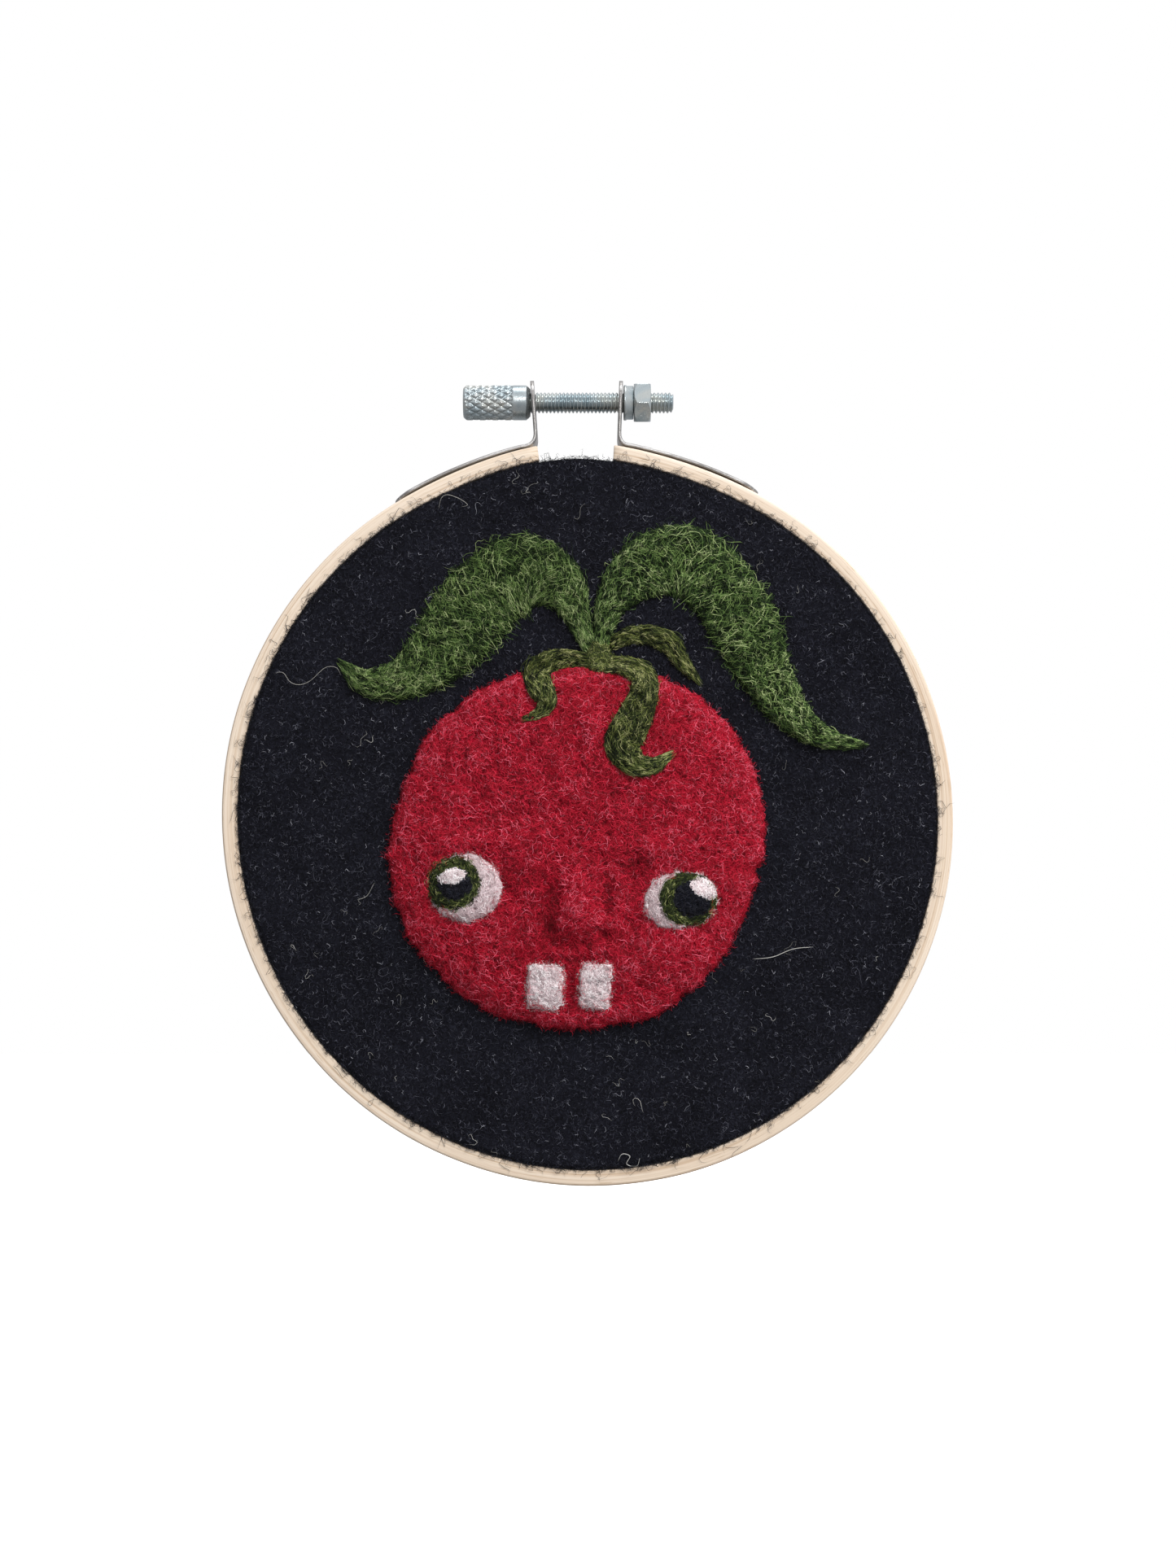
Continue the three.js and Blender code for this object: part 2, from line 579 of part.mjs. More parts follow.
for (const [name, eye] of Object.entries(EYES)) {
  const pieces = eyePieces(eye);
  picture.add(makeMesh(`eyeball_${name}`, toGeometry(pieces.eyeball), MATERIALS.whiteWool));
  picture.add(makeMesh(`iris_${name}`, toGeometry(pieces.iris), MATERIALS.oliveWool));
  picture.add(makeMesh(`pupil_${name}`, toGeometry(pieces.pupil), MATERIALS.blackWool));
  picture.add(makeMesh(`glint_${name}`, toGeometry(pieces.glint), MATERIALS.whiteWool));
}
for (const [name, place] of Object.entries(TEETH)) {
  picture.add(makeMesh(`tooth_${name}`, toGeometry(tooth(place)), MATERIALS.whiteWool));
}
part.add(picture);

export default part;
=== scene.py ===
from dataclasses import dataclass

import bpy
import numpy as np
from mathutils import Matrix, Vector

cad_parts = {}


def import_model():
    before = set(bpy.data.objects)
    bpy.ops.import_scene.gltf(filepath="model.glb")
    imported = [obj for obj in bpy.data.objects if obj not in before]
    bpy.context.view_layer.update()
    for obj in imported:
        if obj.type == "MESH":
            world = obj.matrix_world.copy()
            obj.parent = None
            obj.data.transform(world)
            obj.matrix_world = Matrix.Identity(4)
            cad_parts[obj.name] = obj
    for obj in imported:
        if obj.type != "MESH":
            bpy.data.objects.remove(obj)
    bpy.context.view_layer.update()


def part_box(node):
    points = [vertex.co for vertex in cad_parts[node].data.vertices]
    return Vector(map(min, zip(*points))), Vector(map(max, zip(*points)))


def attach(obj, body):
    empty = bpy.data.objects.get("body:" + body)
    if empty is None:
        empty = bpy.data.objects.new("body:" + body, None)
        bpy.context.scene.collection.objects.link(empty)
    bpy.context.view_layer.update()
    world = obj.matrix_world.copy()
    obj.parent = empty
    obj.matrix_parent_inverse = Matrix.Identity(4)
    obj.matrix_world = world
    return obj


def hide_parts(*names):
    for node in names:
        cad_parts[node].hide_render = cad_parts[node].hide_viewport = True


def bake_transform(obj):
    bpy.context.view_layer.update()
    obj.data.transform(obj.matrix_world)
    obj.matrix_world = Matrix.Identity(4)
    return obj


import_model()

# The looks of a needle-felted tomato face on black wool felt, in a small wooden embroidery hoop.
# Shapes are worked out in millimetres and become metres when a mesh is made. Places on the picture are (x, z)
# from the hoop's centre, and heights are measured forwards, towards -Y, from the felt ground's front.
# Wool is a solid shape with thousands of separate strands over it, each a closed three-sided thread.

MM = 0.001
TURN = 2 * np.pi


# ---------------------------------------------------------------- sizes, from the frame where it has them

def box(node):
    """A CAD node's lowest and highest corners, in millimetres."""
    low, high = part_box(node)
    return np.array(low) / MM, np.array(high) / MM


SCREW_LOW, SCREW_HIGH = box("clamp_screw")
NUT_LOW, NUT_HIGH = box("hex_nut")
COLLAR_LOW, COLLAR_HIGH = box("nut_collar")
OUTER_LOW, OUTER_HIGH = box("outer_hoop_left")
INNER_LOW, INNER_HIGH = box("inner_hoop")
FELT_LOW, FELT_HIGH = box("ground_felt")

AXIS_Z = (SCREW_LOW[2] + SCREW_HIGH[2]) / 2
SCREW_ABOVE_CENTRE = 77.1
HOOP_Z = AXIS_Z - SCREW_ABOVE_CENTRE
HOOP_RADIUS = 66.25
STRIP_THICKNESS = 2.85
CLEARANCE = 0.25  # between pieces that nest
FELT_THICKNESS = 1.6
FELT_AT_RIM = 0.9  # felt squeezed between the hoops
FELT_ROLL = 0.9  # the rolled edge's radius
FELT_RADIUS = HOOP_RADIUS - STRIP_THICKNESS - CLEARANCE
INNER_RADIUS = FELT_RADIUS - FELT_AT_RIM - CLEARANCE
FELT_FRONT = FELT_LOW[1]
BULGE = 1.0  # how far the clamp draws the hoops out of round at the top
FLARE = 1.4  # how much further they spring out close to the gap
FLARE_AT = np.radians(-3)
FLARE_ANGLE = np.radians(14)
OVAL = 0.35  # how much longer and shorter than a circle's the hoops' radius is
OVAL_ANGLE = np.radians(150)  # the lower end of the oval's long axis
PLATE_THICKNESS = 0.7
PLATE_WIDTH = 8.2
STRAP_FROM = 2.4  # where each strap starts, in degrees round from its end of the hoop
STRAP_ANGLE = 21.2
EAR_FOOT = -6.4  # each ear's lower end and its top, from the screw's axis
EAR_TOP = 4.1
LEFT_END = np.radians(-7.7)
RIGHT_END = np.radians(4.1)
SPRING = np.radians(172)  # where the outer hoop would flex; its mesh isn't bent there
RIVET_SHANK = 0.6
RIVET_HEAD = 1.2

# The clamp screw's parts
SHANK_RADIUS = 1.9
THREAD_PITCH = 0.7
THREAD_DEPTH = 0.43
HEAD_RADIUS = 3.2
HEAD_LENGTH = 12.4
BAND_LENGTH = 3.1  # the head's plain end and its bevel
KNURL_STARTS = 14
KNURL_LEAD = 33.0  # millimetres of length for one turn of a knurl groove
KNURL_DEPTH = 0.34
COLLAR_BORE = SHANK_RADIUS + 0.2
NUT_BORE = SHANK_RADIUS + 0.24  # room for the nut to tilt as the hoop opens
NUT_ACROSS_FLATS = 7
NUT_TURN = np.radians(13)


# ---------------------------------------------------------------- meshes from arrays

def signed_volume(vertices, groups):
    total = 0.0
    for group in groups:
        first = vertices[group[:, 0]]
        for i in range(1, group.shape[1] - 1):
            second, third = vertices[group[:, i]], vertices[group[:, i + 1]]
            total += np.einsum("ij,ij->i", first, np.cross(second, third)).sum()
    return total


def add_piece(name, vertices, groups, materials, body, slot, nodes=(), shades=None):
    """A mesh that rides on a body and stands for CAD nodes. shades gives each face's place in materials."""
    vertices = np.asarray(vertices, float).reshape(-1, 3)
    if signed_volume(vertices - vertices.mean(axis=0), groups) < 0:
        groups = [group[:, ::-1] for group in groups]
    corners = np.concatenate([group.ravel() for group in groups])
    sizes = np.concatenate([np.full(len(group), group.shape[1]) for group in groups])
    starts = np.concatenate([[0], np.cumsum(sizes)[:-1]])
    mesh = bpy.data.meshes.new(name)
    mesh.vertices.add(len(vertices))
    mesh.vertices.foreach_set("co", (vertices * MM).ravel())
    mesh.loops.add(len(corners))
    mesh.loops.foreach_set("vertex_index", corners.astype(np.int32))
    mesh.polygons.add(len(starts))
    mesh.polygons.foreach_set("loop_start", starts.astype(np.int32))
    mesh.polygons.foreach_set("use_smooth", np.full(len(starts), True))
    for material in materials:
        mesh.materials.append(material)
    if shades is not None:
        mesh.polygons.foreach_set("material_index", np.asarray(shades, np.int32))
    mesh.update(calc_edges=True)
    piece = bpy.data.objects.new(name, mesh)
    bpy.context.scene.collection.objects.link(piece)
    if body:
        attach(piece, body)
    if nodes:
        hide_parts(*nodes)
    return piece


def add_flow(piece, flow):
    """Stores each vertex's place along, across and through the material, in metres, for grain and streaks."""
    attribute = piece.data.attributes.new("flow", "FLOAT_VECTOR", "POINT")
    attribute.data.foreach_set("vector", (np.asarray(flow, float) * MM).ravel())


def full_turn(count):
    """count angles evenly round a turn."""
    return np.linspace(0, TURN, count, endpoint=False)


def ring_quads(rows, around, wrap=False):
    """Quads over closed rows of around points each. wrap joins the last row to the first."""
    row = np.arange(rows if wrap else rows - 1)[:, None] * around
    column = np.arange(around)
    after = (row + around) % (rows * around)
    right = (column + 1) % around
    return np.stack([row + column, row + right, after + right, after + column], axis=-1).reshape(-1, 4)


def cap_triangles(rows, around):
    """Fans that close the first and last rows onto two vertices that follow the rows."""
    column = np.arange(around)
    right = (column + 1) % around
    first, last = rows * around, rows * around + 1
    start = np.stack([np.full(around, first), right, column], axis=-1)
    base = (rows - 1) * around
    end = np.stack([np.full(around, last), base + column, base + right], axis=-1)
    return np.concatenate([start, end])


def capped(rings):
    """Vertices and faces of a closed mesh from an array of rings, with a point at the middle of each end."""
    rows, around, _ = rings.shape
    ends = [rings[0].mean(axis=0), rings[-1].mean(axis=0)]
    vertices = np.concatenate([rings.reshape(-1, 3), ends])
    return vertices, [ring_quads(rows, around), cap_triangles(rows, around)]


# ---------------------------------------------------------------- curves and noise

def smooth(t):
    return t * t * (3 - 2 * t)


def catmull_rom(a, b, c, d, t):
    return b + 0.5 * t * (c - a + t * (2 * a - 5 * b + 4 * c - d + t * (3 * (b - c) + d - a)))


def closed_curve(values, turn):
    """Values evenly spaced round a turn, read smoothly at angles in radians."""
    values = np.asarray(values, float)
    place = (turn / TURN * len(values)) % len(values)
    i = np.floor(place).astype(int)
    around = [values[(i + k) % len(values)] for k in (-1, 0, 1, 2)]
    return catmull_rom(*around, place - i)


def open_curve(points, count):
    """count places on a smooth curve through points."""
    points = np.asarray(points, float)
    padded = np.concatenate([[2 * points[0] - points[1]], points, [2 * points[-1] - points[-2]]])
    place = np.linspace(0, len(points) - 1, count)
    i = np.minimum(place.astype(int), len(points) - 2)
    t = (place - i)[:, None]
    return catmull_rom(padded[i], padded[i + 1], padded[i + 2], padded[i + 3], t)


NOISE_CELLS = 128


def lumps(x, z, size, seed):
    """Smooth noise from -1 to 1, with bumps about size millimetres across."""
    values = np.random.default_rng(seed).uniform(-1, 1, (NOISE_CELLS, NOISE_CELLS))
    u, v = np.asarray(x) / size, np.asarray(z) / size
    i, j = np.floor(u).astype(int), np.floor(v).astype(int)
    a, b = smooth(u - i), smooth(v - j)

    def across(row):
        return values[i % NOISE_CELLS, row] * (1 - a) + values[(i + 1) % NOISE_CELLS, row] * a

    return across(j % NOISE_CELLS) * (1 - b) + across((j + 1) % NOISE_CELLS) * b


def needle_marks(x, z, spacing, radius, seed):
    """Pits that the felting needle leaves, one in each square: up to 1 at a pit's middle, falling to 0."""
    rng = np.random.default_rng(seed)
    shift = rng.uniform(0, 1, (2, NOISE_CELLS, NOISE_CELLS))
    depth = rng.uniform(0.2, 1, (NOISE_CELLS, NOISE_CELLS))
    u, v = np.asarray(x) / spacing, np.asarray(z) / spacing
    i, j = np.floor(u).astype(int), np.floor(v).astype(int)
    pit = np.zeros_like(u)
    for di in (-1, 0, 1):
        for dj in (-1, 0, 1):
            p, q = (i + di) % NOISE_CELLS, (j + dj) % NOISE_CELLS
            away = np.hypot(u - i - di - shift[0][p, q], v - j - dj - shift[1][p, q]) * spacing
            pit = np.maximum(pit, depth[p, q] * np.exp(-((away / radius) ** 2)))
    return pit


# ---------------------------------------------------------------- materials

def linear(red, green, blue):
    """A colour given as screen values from 0 to 255, as Blender's linear values."""
    share = np.array([red, green, blue]) / 255
    return (*np.where(share <= 0.04045, share / 12.92, ((share + 0.055) / 1.055) ** 2.4), 1.0)


WHITE = (1, 1, 1, 1)


class Nodes:
    """Short calls that build the node tree of a material or a world round its shader."""

    def __init__(self, data, shader):
        data.use_nodes = True
        self.data = data
        self.tree = data.node_tree
        self.shader = self.tree.nodes[shader]

    def feed(self, node, inputs):
        """Sets a node's inputs to values, or links them to other nodes' outputs."""
        for key, value in inputs.items():
            if isinstance(value, bpy.types.NodeSocket):
                self.tree.links.new(value, node.inputs[key])
            else:
                node.inputs[key].default_value = value

    def add(self, kind, inputs, **settings):
        node = self.tree.nodes.new(kind)
        for key, value in settings.items():
            setattr(node, key, value)
        self.feed(node, inputs)
        return node

    def object_place(self):
        return self.add("ShaderNodeTexCoord", {}).outputs["Object"]

    def scaled(self, place, stretch):
        return self.add("ShaderNodeMapping", {"Vector": place, "Scale": stretch}).outputs["Vector"]

    def flow(self, stretch):
        """The stored place along, across and through, scaled by stretch."""
        place = self.add("ShaderNodeAttribute", {}, attribute_name="flow").outputs["Vector"]
        return self.scaled(place, stretch)

    def noise(self, place, scale, detail=3.0, distortion=0.0):
        inputs = {"Vector": place, "Scale": scale, "Detail": detail, "Distortion": distortion}
        return self.add("ShaderNodeTexNoise", inputs).outputs["Fac"]

    def ramp(self, source, stops):
        """A colour ramp through stops, each (place, colour)."""
        node = self.add("ShaderNodeValToRGB", {"Fac": source})
        elements = node.color_ramp.elements
        while len(elements) < len(stops):
            elements.new(0.5)
        for element, (place, colour) in zip(elements, stops):
            element.position = place
            element.color = colour
        return node.outputs["Color"]

    def between(self, source, low, high):
        """source from 0 to 1 as a number from low to high."""
        inputs = {"Value": source, "To Min": low, "To Max": high}
        return self.add("ShaderNodeMapRange", inputs).outputs["Result"]

    def multiplied(self, first, second):
        inputs = {0: 1.0, 6: first, 7: second}
        return self.add("ShaderNodeMix", inputs, data_type="RGBA", blend_type="MULTIPLY").outputs[2]

    def relief(self, source, depth):
        """A normal from relief of a depth in millimetres."""
        inputs = {"Height": source, "Strength": 1.0, "Distance": depth * MM}
        return self.add("ShaderNodeBump", inputs).outputs["Normal"]


def new_material(name):
    return Nodes(bpy.data.materials.new(name), "Principled BSDF")


def thread_materials(name, colours):
    """Shades of wool for strands, dark to light: the pattern is the strands themselves."""
    materials = []
    for i, colour in enumerate(colours):
        nodes = new_material(f"{name}_{i}")
        inputs = {"Base Color": linear(*colour), "Roughness": 0.6, "Specular IOR Level": 0.3}
        nodes.feed(nodes.shader, inputs)
        materials.append(nodes.data)
    return materials


def wool_material(name, dark, middle, light, scale=900, depth=0.25):
    """Matted wool under the strands: crossing curly fibres in three shades, with relief."""
    nodes = new_material(name)
    place = nodes.object_place()
    curls = nodes.noise(place, scale, 4.0, 3.0)
    patches = nodes.noise(place, scale / 9, 3.0)
    shades = nodes.ramp(curls, [(0.34, linear(*dark)), (0.5, linear(*middle)), (0.66, linear(*light))])
    tint = nodes.ramp(patches, [(0.3, (0.72, 0.72, 0.72, 1)), (0.7, (1.15, 1.15, 1.15, 1))])
    nodes.feed(nodes.shader, {
        "Base Color": nodes.multiplied(shades, tint),
        "Roughness": nodes.between(curls, 0.95, 0.75),
        "Specular IOR Level": 0.1,
        "Normal": nodes.relief(curls, depth),
    })
    return nodes.data


def wood_material():
    """Pale close-grained wood: fine lines along the strip, wider soft bands and a few darker flecks."""
    nodes = new_material("pale_wood")
    lines = nodes.noise(nodes.flow((18, 2600, 900)), 1.0, 4.0, 0.3)
    bands = nodes.noise(nodes.flow((9, 700, 300)), 1.0, 2.0)
    flecks = nodes.noise(nodes.flow((250, 5200, 2600)), 1.0, 2.0)
    stops = [(0.3, linear(191, 166, 140)), (0.45, linear(213, 194, 173)), (0.62, linear(224, 209, 191))]
    warm = nodes.ramp(bands, [(0.35, (0.93, 0.9, 0.86, 1)), (0.6, WHITE)])
    dark = nodes.ramp(flecks, [(0.27, (0.74, 0.66, 0.56, 1)), (0.36, WHITE)])
    banded = nodes.multiplied(nodes.ramp(lines, stops), warm)
    nodes.feed(nodes.shader, {
        "Base Color": nodes.multiplied(banded, dark),
        "Roughness": nodes.between(lines, 0.62, 0.5),
        "Specular IOR Level": 0.35,
        "Normal": nodes.relief(lines, 0.06),
    })
    return nodes.data


def zinc_material():
    """Bright zinc plate: faint bluish and straw patches, and fine turning marks round the axis."""
    nodes = new_material("zinc_plate")
    place = nodes.object_place()
    patches = nodes.noise(place, 260, 3.0, 0.6)
    marks = nodes.noise(nodes.scaled(place, (9000, 700, 700)), 1.0, 2.0)
    stops = [(0.32, linear(160, 174, 179)), (0.5, linear(186, 195, 197)), (0.68, linear(202, 204, 199))]
    nodes.feed(nodes.shader, {
        "Base Color": nodes.ramp(patches, stops),
        "Metallic": 1.0,
        "Roughness": nodes.between(marks, 0.22, 0.36),
        "Normal": nodes.relief(marks, 0.012),
    })
    return nodes.data


def bracket_material():
    """Rolled steel strip: streaks along its length and dull specks."""
    nodes = new_material("rolled_steel")
    streaks = nodes.noise(nodes.flow((60, 100, 2200)), 1.0, 4.0)
    specks = nodes.noise(nodes.object_place(), 1500, 3.0, 1.0)
    stops = [(0.3, linear(128, 125, 122)), (0.5, linear(176, 173, 170)), (0.7, linear(222, 220, 218))]
    dull = nodes.ramp(specks, [(0.3, (0.7, 0.69, 0.68, 1)), (0.42, WHITE)])
    nodes.feed(nodes.shader, {
        "Base Color": nodes.multiplied(nodes.ramp(streaks, stops), dull),
        "Metallic": 1.0,
        "Roughness": nodes.between(streaks, 0.34, 0.52),
        "Normal": nodes.relief(streaks, 0.02),
    })
    return nodes.data


WOOD = wood_material()
ZINC = zinc_material()
BRACKET = bracket_material()
BLACK_FELT = wool_material("black_felt", (10, 10, 14), (18, 18, 25), (31, 32, 40), 1100, 0.3)
RED_FELT = wool_material("red_felt", (102, 7, 18), (154, 14, 35), (188, 28, 54))
GREEN_FELT = wool_material("leaf_felt", (10, 17, 8), (24, 36, 16), (44, 62, 30))
OLIVE_FELT = wool_material("olive_felt", (13, 17, 8), (28, 34, 16), (50, 58, 28))
WHITE_FELT = wool_material("white_felt", (152, 121, 125), (199, 178, 180), (226, 213, 214), 1100, 0.12)
INK_FELT = wool_material("ink_felt", (9, 9, 13), (15, 16, 23), (30, 32, 41), 1100, 0.2)

BLACK_THREADS = thread_materials("black_thread", [(15, 15, 21), (28, 28, 37), (50, 51, 62)])
FLECK_THREADS = thread_materials("fleck_thread", [(62, 63, 74), (98, 99, 110), (160, 161, 170)])
RED_THREADS = thread_materials(
    "red_thread", [(114, 9, 22), (156, 15, 34), (190, 22, 47), (212, 38, 64), (232, 100, 122)],
)
GREEN_THREADS = thread_materials(
    "green_thread", [(18, 29, 12), (46, 67, 29), (88, 116, 58), (130, 156, 88), (176, 192, 132)],
)
OLIVE_THREADS = thread_materials(
    "olive_thread", [(20, 26, 12), (46, 55, 24), (80, 92, 42), (122, 130, 68), (172, 172, 116)],
)
WHITE_THREADS = thread_materials("white_thread", [(198, 176, 178), (232, 213, 215), (250, 243, 243)])
PALE_HAIR = thread_materials("pale_hair", [(150, 148, 142), (206, 204, 198)])


# ---------------------------------------------------------------- the hoops

def bulge_at(angle):
    """How far the hoops stand outside a circle, at a clockwise angle from the top."""
    from_top = (angle + np.pi) % TURN - np.pi
    drawn_out = BULGE * np.cos(angle / 2) ** 4
    flared = FLARE * np.exp(-(((from_top - FLARE_AT) / FLARE_ANGLE) ** 2))
    return drawn_out + flared + OVAL * np.cos(2 * (angle - OVAL_ANGLE))


def on_hoop(radius, angle, y):
    """Places in the frame at a radius and a clockwise angle from the top, moved out by the bulge."""
    reach = radius + bulge_at(angle)
    return np.stack(np.broadcast_arrays(reach * np.sin(angle), y, HOOP_Z + reach * np.cos(angle)), axis=-1)


def strip_section(thickness, depth, inner_round, outer_round, steps=5):
    """A strip's section as (out, y) pairs round its middle, with its four edges rounded."""
    corners = [(1, -1, outer_round), (1, 1, outer_round), (-1, 1, inner_round), (-1, -1, inner_round)]
    section = []
    for i, (out, y, radius) in enumerate(corners):
        for step in range(steps + 1):
            angle = np.pi / 2 * (i - 1 + step / steps)
            section.append((
                out * (thickness / 2 - radius) + radius * np.cos(angle),
                y * (depth / 2 - radius) + radius * np.sin(angle),
            ))
    return np.array(section)


def strip_rings(radius, angles, section, y_middle, seed):
    """Rings of a bent wooden strip that wanders a little in thickness and depth, and its grain's places."""
    out, y = section[:, 0], section[:, 1]
    along = angles * radius
    wander = 0.05
    drift = wander * lumps(along, 0 * along, 14, seed)[:, None]
    twist = wander * lumps(along, 0 * along, 23, seed + 1)[:, None]
    rings = on_hoop(radius + out + drift, angles[:, None], y_middle + y + twist)
    flow = np.stack(np.broadcast_arrays(along[:, None], out, y), axis=-1)
    return rings, flow


def outer_hoop():
    """The outer strip from its right end round to its left end, in one piece."""
    section = strip_section(STRIP_THICKNESS, OUTER_HIGH[1] - OUTER_LOW[1], 0.3, 0.55)
    angles = np.linspace(RIGHT_END, TURN + LEFT_END, 420)
    rings, flow = strip_rings(HOOP_RADIUS - STRIP_THICKNESS / 2, angles, section, 0.0, 1)
    # Each end is cut square with a slightly broken edge: the last ring is a little smaller.
    for end, inside in ((0, 1), (-1, -2)):
        middle = rings[end].mean(axis=0)
        rings[inside] = rings[end] + (rings[inside] - rings[end]) * 0.2
        rings[end] = middle + (rings[end] - middle) * 0.94
    vertices, faces = capped(rings)
    nodes = ["outer_hoop_left", "outer_hoop_right"]
    piece = add_piece("outer_hoop", vertices, faces, [WOOD], None, "hoop_wood", nodes)
    add_flow(piece, capped(flow)[0])
    return piece


def bend_at_spring(piece):
    """Bakes the outer hoop piece's placement into its mesh. The spring's and the gap's places are worked out
    but not used, so it doesn't bend.
    """
    middle = on_hoop(HOOP_RADIUS - STRIP_THICKNESS / 2, np.array(SPRING), 0.0)
    gap = on_hoop(HOOP_RADIUS, np.array((LEFT_END + RIGHT_END) / 2), 0.0)
    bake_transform(piece)


def inner_hoop():
    """The inner strip, a closed ring with a little room inside the felt's skirt."""
    section = strip_section(STRIP_THICKNESS, INNER_HIGH[1] - INNER_LOW[1], 0.5, 0.6)
    y_middle = (INNER_LOW[1] + INNER_HIGH[1]) / 2
    radius = INNER_RADIUS - STRIP_THICKNESS / 2 - 0.08
    rings, flow = strip_rings(radius, full_turn(360), section, y_middle, 5)
    faces = [ring_quads(*rings.shape[:2], wrap=True)]
    piece = add_piece("inner_hoop_ring", rings, faces, [WOOD], "picture", "hoop_wood", ["inner_hoop"])
    add_flow(piece, flow)


# ---------------------------------------------------------------- the clamp

def bracket_line(side, ear_x, end_angle, lean):
    """A bracket's middle line from the strap's end to the ear's top, as (x, z) places in the frame."""
    radius = HOOP_RADIUS + CLEARANCE + PLATE_THICKNESS / 2
    angles = end_angle + side * np.radians(np.linspace(STRAP_FROM + STRAP_ANGLE, STRAP_FROM, 24))
    strap = on_hoop(radius, angles, 0.0)[:, [0, 2]]
    tilt = side * np.tan(np.radians(lean))
    foot = np.array([ear_x + tilt * EAR_FOOT, AXIS_Z + EAR_FOOT])
    top = np.array([ear_x + tilt * EAR_TOP, AXIS_Z + EAR_TOP])
    corner = np.array([foot[0], strap[-1][1] + 0.1])
    t = np.linspace(0, 1, 14)[1:, None]
    bend = (1 - t) ** 2 * strap[-1] + 2 * t * (1 - t) * corner + t**2 * foot
    ear = foot + np.linspace(0, 1, 20)[1:, None] * (top - foot)
    return np.concatenate([strap, bend, ear])


def bracket(which, side, ear_x, end_angle, lean):
    """A folded strip with a round strap end and a round ear top."""
    line = bracket_line(side, ear_x, end_angle, lean)
    step = np.linalg.norm(np.diff(line, axis=0), axis=1)
    along = np.concatenate([[0], np.cumsum(step)])
    total = along[-1]
    # Rows are closer together at the two round ends.
    ease = (1 - np.cos(np.linspace(0, np.pi, 90))) / 2
    places = total * (0.5 * ease + 0.5 * np.linspace(0, 1, 90))
    centre = np.stack([np.interp(places, along, line[:, i]) for i in (0, 1)], axis=-1)
    tangent = np.gradient(centre, axis=0)
    tangent /= np.linalg.norm(tangent, axis=1)[:, None]
    outward = np.stack([-tangent[:, 1], tangent[:, 0]], axis=-1) * side
    half, edge = PLATE_WIDTH / 2, 0.16
    from_end = np.minimum(places, total - places)
    width = np.where(from_end < half, np.sqrt(np.maximum(half**2 - (half - from_end) ** 2, 0.04)), half)
    section = strip_section(PLATE_THICKNESS, 2.0, edge, edge, 3)
    out, share = section[:, 0], section[:, 1]
    y = share * (width[:, None] - edge)
    x = centre[:, :1] + outward[:, :1] * out
    z = centre[:, 1:] + outward[:, 1:] * out
    vertices, faces = capped(np.stack([x, y, z], axis=-1))
    name, body = f"bracket_{which}", f"hoop_{which}"
    piece = add_piece(f"{name}_plate", vertices, faces, [BRACKET], body, "bracket_steel", [name])
    flow = np.stack(np.broadcast_arrays(places[:, None], out, y), axis=-1)
    add_flow(piece, capped(flow)[0])


def turned_piece(name, x, radius, turn, body, node, bored=False):
    """A zinc piece from its radii at each place x along the screw's axis and each angle turn round it."""
    y = -radius * np.cos(turn)
    z = AXIS_Z + radius * np.sin(turn)
    rings = np.stack(np.broadcast_arrays(x[:, None], y, z), axis=-1)
    vertices, faces = capped(rings)
    if bored:
        vertices, faces = rings, [ring_quads(*rings.shape[:2], wrap=True)]
    add_piece(name, vertices, faces, [ZINC], body, "plated_steel", [node])


def groove(place):
    """How deep a V groove that repeats every 1 is at a place: 1 at its bottom and 0 on the land beside it."""
    away = np.abs(place - np.round(place))
    return np.clip(1 - away / 0.3, 0, 1)


def clamp_screw():
    """The grip with its diamond knurl and plain band, the neck, and the shank with its helical thread."""
    turn = full_turn(144)
    head_end, tip = SCREW_LOW[0], SCREW_HIGH[0]
    shoulder = head_end + HEAD_LENGTH
    bevel = np.array([0, 0.02, 0.25, 0.55])
    grip = np.linspace(0.7, shoulder - head_end - 0.75, 110)
    head = np.concatenate([bevel, grip]) + head_end
    neck = shoulder + np.array([-0.55, -0.35, -0.1, 0.0])
    shank = np.arange(shoulder + 0.02, tip - 0.02, THREAD_PITCH / 9)
    x = np.concatenate([head, neck, shank, [tip, tip]])
    near_end = [head_end, head_end + 0.02, head_end + 0.55]
    near_shoulder = [shoulder - 0.75, shoulder - 0.2, shoulder, shoulder + 0.01]
    profile = [2.3, 2.7, HEAD_RADIUS, HEAD_RADIUS, 2.75, 2.5, SHANK_RADIUS]
    base = np.interp(x, near_end + near_shoulder, profile)[:, None]
    x_column = x[:, None]
    from_end = x_column - head_end
    knurl_start = smooth(np.clip((from_end - 0.3) / 0.5, 0, 1))
    knurl_stop = smooth(np.clip((shoulder - BAND_LENGTH - x_column) / 0.4, 0, 1))
    cuts = [groove(KNURL_STARTS * (turn / TURN + way * from_end / KNURL_LEAD)) for way in (-1, 1)]
    knurl = KNURL_DEPTH * np.maximum(*cuts) * (knurl_start * knurl_stop)
    phase = (x_column / THREAD_PITCH - turn / TURN) % 1
    ridge = 1 - 2 * np.abs(phase - 0.5)
    fade = np.clip((tip - x_column) / 0.6, 0, 1)
    thread = THREAD_DEPTH * (1 - np.clip(ridge * 1.25, 0, 1)) + 0.35 * (1 - fade)
    radius = base - knurl - np.where(x_column >= shoulder + 0.01, thread, 0)
    radius[-1] *= 0.75
    turned_piece("clamp_screw_solid", x, radius, turn, "screw", "clamp_screw")


